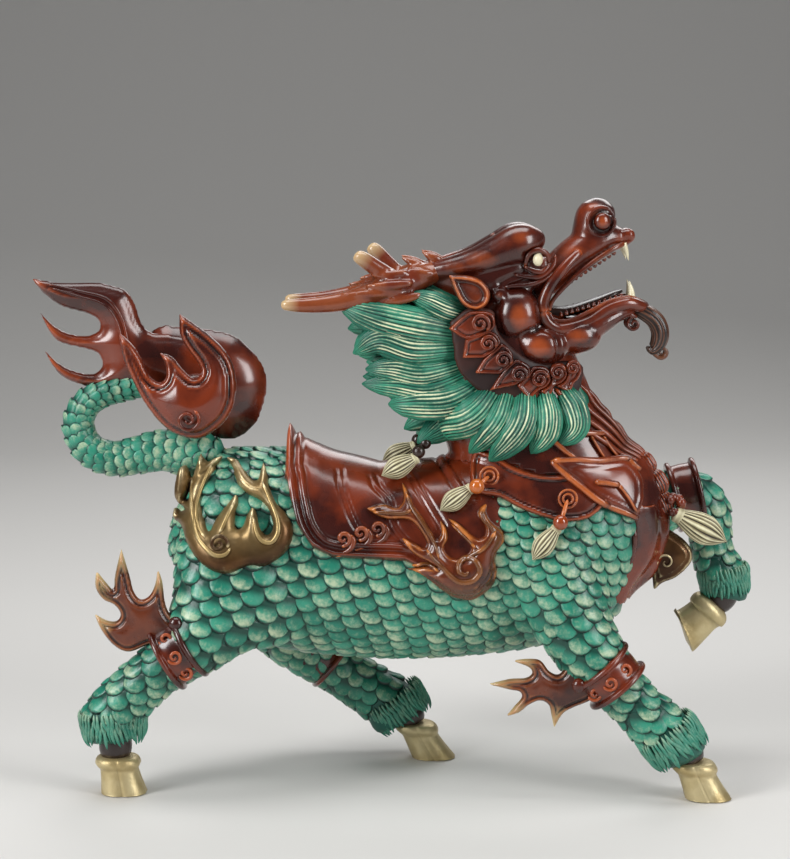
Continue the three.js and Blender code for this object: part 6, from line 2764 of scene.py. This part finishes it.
    def lips(self) -> tuple[Form, Form]:
        """What is raised round the mouth, the eyes and the nostrils.

        Returns:
            The thin rims of the open mouth, and the broad lips with the lids, the folds and the curls.
        """
        rims, folds = [], []
        for points, radius, lean, group in (
            (self.UPPER_RIM, 1.15, (-0.6, 0, 0.8), rims), (self.LOWER_RIM, 1.15, (-0.3, 0, 1), rims),
            (self.BROAD_LIP, 2.9, (-0.2, 0, 1), folds),
        ):
            loop = [*on_side(points, Side.NEAR), *reversed(points[:-1])]
            group.append(cord(loop, radius, sides=12, steps=6, across=lean, taper=0.1))
        for side in Side:
            s = side.value
            folds += [cord(on_side(points, side), radius) for points, radius in self.LIDS]
            folds.append(coil((102.4, s * 3.8, 246.2), 2.9, 1.2, 1.2, 200, 1, s * 0.5))
            folds.append(coil((105.8, s * 4.6, 207.4), 3.4, 1.0, 1.5, 70, 1, s * 0.8))
            points, radius = self.CHIN_FOLD
            folds.append(cord(on_side(points, side), radius))
            loop = [
                (90.4 + 6.0 * math.cos(turn), s * (10.0 + 0.6 * math.sin(turn)), 252.8 + 6.3 * math.sin(turn),
                 0.9, 0.9)
                for turn in np.linspace(math.pi * 0.1, math.pi * 2.1, 22)
            ]
            folds.append(Sweep(loop, sides=8, steps=3, taper=0.1))
        return mark_relief(swept(rims), gain=2.4), mark_relief(swept(folds), gain=1.0)

    def ears(self) -> Form:
        """Hollow leaf-shaped ears with a rolled rim.

        Returns:
            Both ears.
        """
        parts = []
        for side in Side:

            def place(at: Vector, rise: float, out: float, s: int = side.value) -> Vector:
                """Moves a point of the blank to the side of the head; only its outer face is carved."""
                away = (rise if out * s > 0 else -3.2) * abs(out)
                return Vector((at.x, s * (22.6 + (33 - at.x) * 0.10 + away), at.z))

            parts.append(CarvedPlate(self.EAR, self.EAR_CUT, 0.55).carved(place))
        return joined(parts)

    def eyes(self) -> Form:
        """The cream eyes.

        Returns:
            Both eyes.
        """
        shape = bmesh.new()
        for side in Side:
            ball(shape, (62.3, side.value * 17.2, 236.6), (2.25, 2.5, 2.95), 24)
        return shape

    def teeth(self) -> Form:
        """The fangs of both jaws."""
        return swept([Sweep(on_side(rows, side), sides=12, steps=4) for side in Side for rows in self.FANGS])

    def small_teeth(self) -> Form:
        """The low dark teeth along both jaws.

        Returns:
            The teeth.
        """
        found = []
        for side in Side:
            for t in np.arange(12) / 11:
                upper = (73 + 23 * t, side.value * (12.4 - 3.6 * t), 224.4 + 14.8 * t, self.UPPER_TOOTH)
                lower = (73 + 27 * t, side.value * (12.2 - 5.0 * t), 211.4 + 7.8 * t, self.LOWER_TOOTH)
                for x, y, z, profile in (upper, lower):
                    rows = [(x + dx, y, z + dz, size, size) for dx, dz, size in profile]
                    found.append(Sweep(rows, sides=8, steps=3))
        return mark_relief(swept(found), gain=0.8)

    def tongue(self) -> Form:
        """The tongue, which fills the floor of the mouth."""
        return mark_relief(swept([Sweep(self.TONGUE, sides=24, steps=6)]))

    def beard(self) -> Form:
        """Ridged locks that fall from the chin and curl at their end.

        Returns:
            The beard.
        """
        found = []
        for y, shift in ((-3.2, 0.0), (0, 0.8), (3.2, 0.0)):
            rows = [
                (105, y * 0.6, 214.4, 2.2, 2.6), (110.6 + shift, y, 212.4, 3.4, 3.6),
                (115.6 + shift, y, 208.6, 3.8, 3.8), (117.8 + shift, y, 203.4, 3.8, 3.6),
                (117.0 + shift, y, 198.4, 3.4, 3.2), (114.6, y, 195.6, 2.2, 2.2), (112.4, y, 196.6, 0.6, 0.6),
            ]
            found.append(Sweep(rows, sides=56, steps=6, ridges=12, ridge_rise=0.2))
        for side in Side:
            found.append(coil((118.6, side.value * 3.4, 194.8), 3.4, 1.1, 1.5, 120, 1, side.value * 0.6))
        return mark_relief(swept(found))

    def build(self) -> None:
        """The whole head."""
        skin = self.bones()
        self.carve(skin)
        skin = mark_relief(skin, gain=1.6, rounds=3)
        # Orange painted highlights on the swells of the face.
        self.paint_highlights(skin)
        piece(skin, "head", LACQUER)
        rims, folds = self.lips()
        piece(joined([rims, self.ears()]), "lip_and_ear_rims", RIM_LACQUER)
        piece(joined([folds, self.small_teeth()]), "lips_lids_nostrils", LACQUER)
        piece(joined([self.eyes(), self.teeth()]), "eyes_and_teeth", IVORY)
        piece(joined([self.tongue(), self.beard()]), "tongue_and_beard", DARK)


@dataclass
class Antlers:
    """Antlers swept back from the crown, with worn pale ends.

    Attributes:
        voxel: Size of the cells in which beams, tines and fibres run together.
        worn: Length of the pale end of a beam or a tine.
    """

    voxel: float = 0.75
    worn: float = 9.0

    # x, y, z and half-sizes across and deep along the beam
    BEAM = (
        (26, 10, 232, 4.0, 3.6), (14, 12, 229.6, 6.2, 6.0), (2, 15, 225.2, 6.4, 6.6),
        (-10, 17, 221.4, 5.2, 5.4), (-20, 18, 218.8, 4.2, 4.4), (-30, 18, 217.2, 3.8, 3.9),
        (-40, 18, 216.6, 3.4, 3.4), (-47.6, 18, 216.8, 2.8, 2.8), (-50, 18, 217, 1.6, 1.6),
    )
    # x, y, z and half-size along the tine, from the beam to its end
    TINE = (
        (6, 14, 226, 3.6), (-1, 15.4, 229.4, 4.2), (-7.5, 16.6, 234.6, 3.8), (-13, 17.4, 239.4, 3.5),
        (-16.4, 17.6, 242, 3.0), (-17.6, 17.6, 243, 1.6),
    )
    # how far each side's tine ends further ahead and lower than those rows
    TINE_SHIFTS = {Side.NEAR: (0.0, 4.0), Side.FAR: (6.0, 1.5)}
    # root and end as x and z, and y, of the fibres that flare at the root
    FIBRES = (
        ((-2, 229), (-17, 226.6), 12.6), ((0, 226.4), (-22, 224.0), 14.6), ((4, 223.0), (-24, 221.6), 20.6),
        ((6, 231), (-11, 229.4), 18.6), ((8, 226.6), (-14, 225.4), 21.6), ((12, 221.6), (-8, 217.6), 20.2),
        ((14, 232.6), (2, 237.6), 10.4), ((22, 235), (11, 240.0), 9.2), ((18, 230), (4, 232.4), 16.4),
    )
    # the ends that are worn: the beam's, which is the same on both sides, and each side's tine
    BEAM_END = (-50, 18, 217)
    TINE_ENDS = {Side.NEAR: (-17.6, -17.6, 239), Side.FAR: (-11.6, 17.6, 241.5)}

    def horn(self, side: Side) -> list[Sweep]:
        """The beam, the tine and the fibres of one antler.

        Args:
            side: The side of the head.

        Returns:
            The antler's parts.
        """
        s = side.value
        found = [Sweep(on_side(self.BEAM, side), sides=40, steps=8, taper=0.12)]
        ahead, drop = self.TINE_SHIFTS[side]
        root, end = self.TINE[0][0], self.TINE[-1][0]
        rows = []
        for x, y, z, size in self.TINE:
            share = (root - x) / (root - end)
            rows.append((x + ahead * share, s * y, z - drop * share, size, size))
        found.append(Sweep(rows, sides=32, steps=8, taper=0.12))
        for (x0, z0), (x1, z1), y in self.FIBRES:
            rows = [
                (x0, s * y, z0, 1.6, 1.9),
                ((x0 + x1) / 2, s * (y + 0.8), (z0 + z1) / 2 - 0.4, 2.1, 2.1),
                (x1, s * (y + 0.4), z1, 0.4, 0.4),
            ]
            found.append(Sweep(rows, sides=16, steps=8, taper=0.2))
        return found

    def build(self) -> None:
        """Both antlers, their tines and the flaring fibres at the root."""
        skin = fused(swept(self.horn(Side.NEAR) + self.horn(Side.FAR)), self.voxel, 2)
        pale = paint_layer(skin, "pale")
        for vert in skin.verts:
            side = Side.NEAR if vert.co.y < 0 else Side.FAR
            x, y, z = self.BEAM_END
            ends = (Vector((x, math.copysign(y, vert.co.y), z)), Vector(self.TINE_ENDS[side]))
            tip = min((vert.co - end).length for end in ends)
            vert[pale] = max(0.0, 1 - tip / self.worn) ** 1.1
        piece(mark_relief(skin), "antlers", ANTLER_PAINT)


@dataclass
class Leather:
    """The lacquered leather that follows the skin: round the neck and chest, and the apron below it.

    Attributes:
        lift: Height of the leather over the skin.
        thick: How far its underside is let into the skin.
    """

    lift: float = 1.3
    thick: float = 1.2

    # x and z along the lower edge of the neck's leather
    NECK_EDGE = (
        (44, 149.6), (51.5, 145.4), (61, 142.4), (72, 143.2), (80, 137.2), (88, 131.0), (98, 126.4),
        (106, 123), (118, 120), (130, 118),
    )
    # z and x along the rear edge of the apron
    APRON_EDGE = ((80, 87), (84, 90), (94, 97), (104, 103.5), (112, 105), (124, 104.5), (132, 103))

    def sheet(self, skin: Form, inside: Callable[[Vector], bool], rise: Callable[[Vector], float]) -> Form:
        """A closed sheet over part of the skin.

        Args:
            skin: The skin.
            inside: Whether a place of the skin is under the sheet.
            rise: Height of the sheet over the skin at a place.

        Returns:
            The sheet.
        """
        shape = skin.copy()
        lost = [face for face in shape.faces if not inside(face.calc_center_median())]
        bmesh.ops.delete(shape, geom=lost, context="FACES")
        soften(shape, [vert for vert in shape.verts if vert.is_boundary], 6)
        shape.normal_update()
        moves = [(vert, vert.co.copy(), vert.normal.copy()) for vert in shape.verts]
        grown = bmesh.ops.extrude_face_region(shape, geom=list(shape.faces))["geom"]
        tops = {tuple(vert.co): vert for vert in moved_points(grown)}
        for vert, spot, out in moves:
            tops[tuple(spot)].co = spot + out * rise(spot)
            vert.co = spot - out * self.thick
        bmesh.ops.recalc_face_normals(shape, faces=shape.faces)
        return closed(shape)

    def neck(self, skin: Form) -> Form:
        """The leather round the neck.

        Args:
            skin: The skin that it follows.

        Returns:
            The leather.
        """

        def inside(spot: Vector) -> bool:
            """Whether the leather covers a place of the skin."""
            if spot.x < 20 or (spot.x > 106 and spot.y > 15):
                return False
            return spot.z > (146 if spot.x < 44 else along_edge(self.NECK_EDGE, spot.x))

        return mark_relief(self.sheet(skin, inside, lambda spot: self.lift), gain=1.2)

    def apron(self, skin: Form) -> Form:
        """The apron on the breast below the knots, with folds that run down it.

        Args:
            skin: The skin that it follows.

        Returns:
            The apron.
        """

        def inside(spot: Vector) -> bool:
            """Whether the apron covers a place of the skin."""
            beside = (spot.x > 106 and spot.y > 15) or (spot.z < 100 and spot.y < -21)
            return 84 < spot.z < 130 and spot.x > along_edge(self.APRON_EDGE, spot.z) and not beside

        def rise(spot: Vector) -> float:
            """The folds of the apron."""
            return self.lift + 0.5 + 0.9 * math.cos(spot.y * 0.62 + spot.z * 0.04)

        return mark_relief(self.sheet(skin, inside, rise), gain=1.6)

    def build(self, skin: Form) -> Form:
        """The leather, with a hem down each side of the apron.

        Args:
            skin: The skin that it follows.

        Returns:
            A copy of its form for what lies on it.
        """
        neck, apron = self.neck(skin), self.apron(skin)
        copy = joined([neck.copy(), apron.copy()])
        carrier = Carrier.over(copy)
        hems = []
        for side in Side:
            rows = []
            for z in np.linspace(101, 124, 9):
                x = along_edge(self.APRON_EDGE, z)
                y, _ = carrier.flank(x + 1.2, z, side)
                rows.append((x + 0.6, y, z))
            hems.append(cord(rows, 1.3))
        piece(joined([neck, apron]), "neck_and_apron", LACQUER)
        piece(mark_relief(swept(hems), gain=0.8), "apron_hem", RIM_LACQUER)
        return copy


@dataclass
class Stage:
    """The pale floor, the studio light and the camera.

    Attributes:
        camera_height: The camera above the ground, in metres.
        camera_back: The camera's distance from the middle plane.
        pitch: How far the camera looks down, in degrees.
        lens: Focal length on a sensor 36 mm long.
    """

    camera_height: float = 0.285
    camera_back: float = 1.0
    pitch: float = 7.14
    lens: float = 94.3

    FLOOR_COLOR = (0.62, 0.61, 0.59, 1)
    # the floor in metres: half its width, its flat part's front and back, its curve's radius and its top
    FLOOR_HALF = 7
    FLOOR_FRONT = -4.0
    FLOOR_BACK = 1.1
    CURVE_RADIUS = 1.4
    FLOOR_TOP = 5.0
    # name, place, size and power of each soft box
    BOXES = (
        ("left_box", (-1.05, -0.75, 0.75), (0.45, 0.9), 17),
        ("right_box", (1.05, -0.75, 0.65), (0.4, 0.9), 11),
        ("top_box", (0.0, 0.0, 1.25), (1.0, 0.5), 8),
        ("back_box", (0.3, 1.0, 0.9), (1.0, 0.5), 5),
    )
    AIM = (0, 0, 0.13)
    SKY_COLOR = (0.95, 0.96, 1.0, 1)
    SKY_STRENGTH = 0.09

    def floor(self) -> None:
        """A wide pale floor that curves up behind the figure."""
        shape = bmesh.new()
        ends = [shape.verts.new((x, self.FLOOR_FRONT, 0)) for x in (-self.FLOOR_HALF, self.FLOOR_HALF)]
        line = [shape.edges.new(ends)]
        back, radius = self.FLOOR_BACK, self.CURVE_RADIUS
        turns = np.linspace(0.1, math.pi / 2, 16)
        curve = [(back + radius * math.sin(turn), radius - radius * math.cos(turn)) for turn in turns]
        y, z = self.FLOOR_FRONT, 0.0
        for next_y, next_z in [(back, 0.0), *curve, (back + radius, self.FLOOR_TOP)]:
            grown = bmesh.ops.extrude_edge_only(shape, edges=line)["geom"]
            moved = moved_points(grown)
            bmesh.ops.translate(shape, verts=moved, vec=(0, next_y - y, next_z - z))
            line = [
                item for item in grown
                if isinstance(item, bmesh.types.BMEdge) and all(vert in moved for vert in item.verts)
            ]
            y, z = next_y, next_z
        bmesh.ops.recalc_face_normals(shape, faces=shape.faces)
        for face in shape.faces:
            face.smooth = True
        floor = in_scene(shape, "floor")
        made = bpy.data.materials.new("pale_floor")
        made.use_nodes = True
        shader = made.node_tree.nodes["Principled BSDF"]
        shader.inputs["Base Color"].default_value = self.FLOOR_COLOR
        shader.inputs["Roughness"].default_value = 0.65
        floor.data.materials.append(made)

    def lamp(self, name: str, place: Vector, size: tuple[float, float], power: float) -> None:
        """One soft box that looks at the figure.

        Args:
            name: The lamp's name.
            place: Where it stands, in metres.
            size: Its width and height, in metres.
            power: Its power, in watts.
        """
        light = bpy.data.lights.new(name, "AREA")
        light.shape = "RECTANGLE"
        light.size, light.size_y = size
        light.energy = power
        lamp = bpy.data.objects.new(name, light)
        lamp.location = place
        lamp.rotation_euler = (Vector(self.AIM) - place).to_track_quat("-Z", "Y").to_euler()
        bpy.context.scene.collection.objects.link(lamp)

    def lights(self) -> None:
        """Soft boxes left, right, above and behind, and a dim even sky."""
        for name, place, size, power in self.BOXES:
            self.lamp(name, Vector(place), size, power)
        world = bpy.data.worlds.new("sky")
        world.use_nodes = True
        sky = world.node_tree.nodes["Background"]
        sky.inputs["Color"].default_value = self.SKY_COLOR
        sky.inputs["Strength"].default_value = self.SKY_STRENGTH
        bpy.context.scene.world = world
        bpy.context.scene.view_settings.view_transform = "Standard"

    def camera(self) -> None:
        """The camera at the photograph's viewpoint."""
        data = bpy.data.cameras.new("camera")
        data.sensor_fit = "AUTO"
        data.sensor_width = 36
        data.lens = self.lens
        data.clip_start = 0.05
        camera = bpy.data.objects.new("camera", data)
        camera.location = (-CENTRE_X * METRES, -self.camera_back, self.camera_height)
        camera.rotation_euler = (math.radians(90 - self.pitch), 0, 0)
        bpy.context.scene.collection.objects.link(camera)
        bpy.context.scene.camera = camera

    def build(self) -> None:
        """Sets the floor, the lights and the camera."""
        self.floor()
        self.lights()
        self.camera()


def covered(spot: Vector) -> bool:
    """Whether a place on the hide lies under the fetlock hair, the saddle, the harness or the mane.

    Args:
        spot: The place.

    Returns:
        True where no scale is laid.
    """
    x, y, z = spot
    hair = (
        (x < -104 and y < 0 and z < 37.5)
        or (x > 100 and y < 0 and (x - 115.6) * 0.63 - (z - 33.4) * 0.78 > 0 and z < 60)
        or (-30 < x < 30 and y > 15 and (x + 4.4) * 0.64 - (z - 31.4) * 0.77 > 0 and z < 50)
        or (x > 140 and y > 15 and z < 90.5)
    )
    if hair:
        return True
    if x > 106 and y > 17:
        return False
    under_saddle = -44 < x < 31 and z > along_edge(FLAP_EDGE, x) + 6
    under_harness = x >= 28 and z > max(140 - (x - 31) * 0.32, 128) + 3
    beside = z < 100 and y < -21
    under_apron = 86 < z < 132 and x > along_edge(Leather.APRON_EDGE, z) - 1.0 and not beside
    return under_saddle or under_harness or under_apron


def main() -> None:
    """Builds every piece of the casting and reports it."""
    stage = Stage()
    stage.build()
    hide = Hide()
    skin = hide.skin()
    hide.build(skin)
    carrier = Carrier.over(skin)
    coat = ScaleCoat()
    spots = coat.lattice(skin, list(hide.legs.values()), covered)
    log.info("%d scales on the body", len(spots))
    piece(coat.lay(spots, carrier), "body_scales", SCALE_PAINT)
    FetlockFringes().build()
    Hooves().build()
    CuffsAndFlames().build()
    Tail().build()
    saddle_form = Saddle().build()
    cover_form = Leather().build(skin)
    ground = Carrier.over(joined([skin.copy(), saddle_form.copy()]))
    outer = Carrier.over(joined([skin, saddle_form, cover_form]))
    Scrolls().build(ground)
    Harness().build(ground, outer)
    Breast().build(outer)
    Mane().build(outer)
    Collar().build()
    Head().build()
    Antlers().build()


if __name__ == "__main__":
    main()
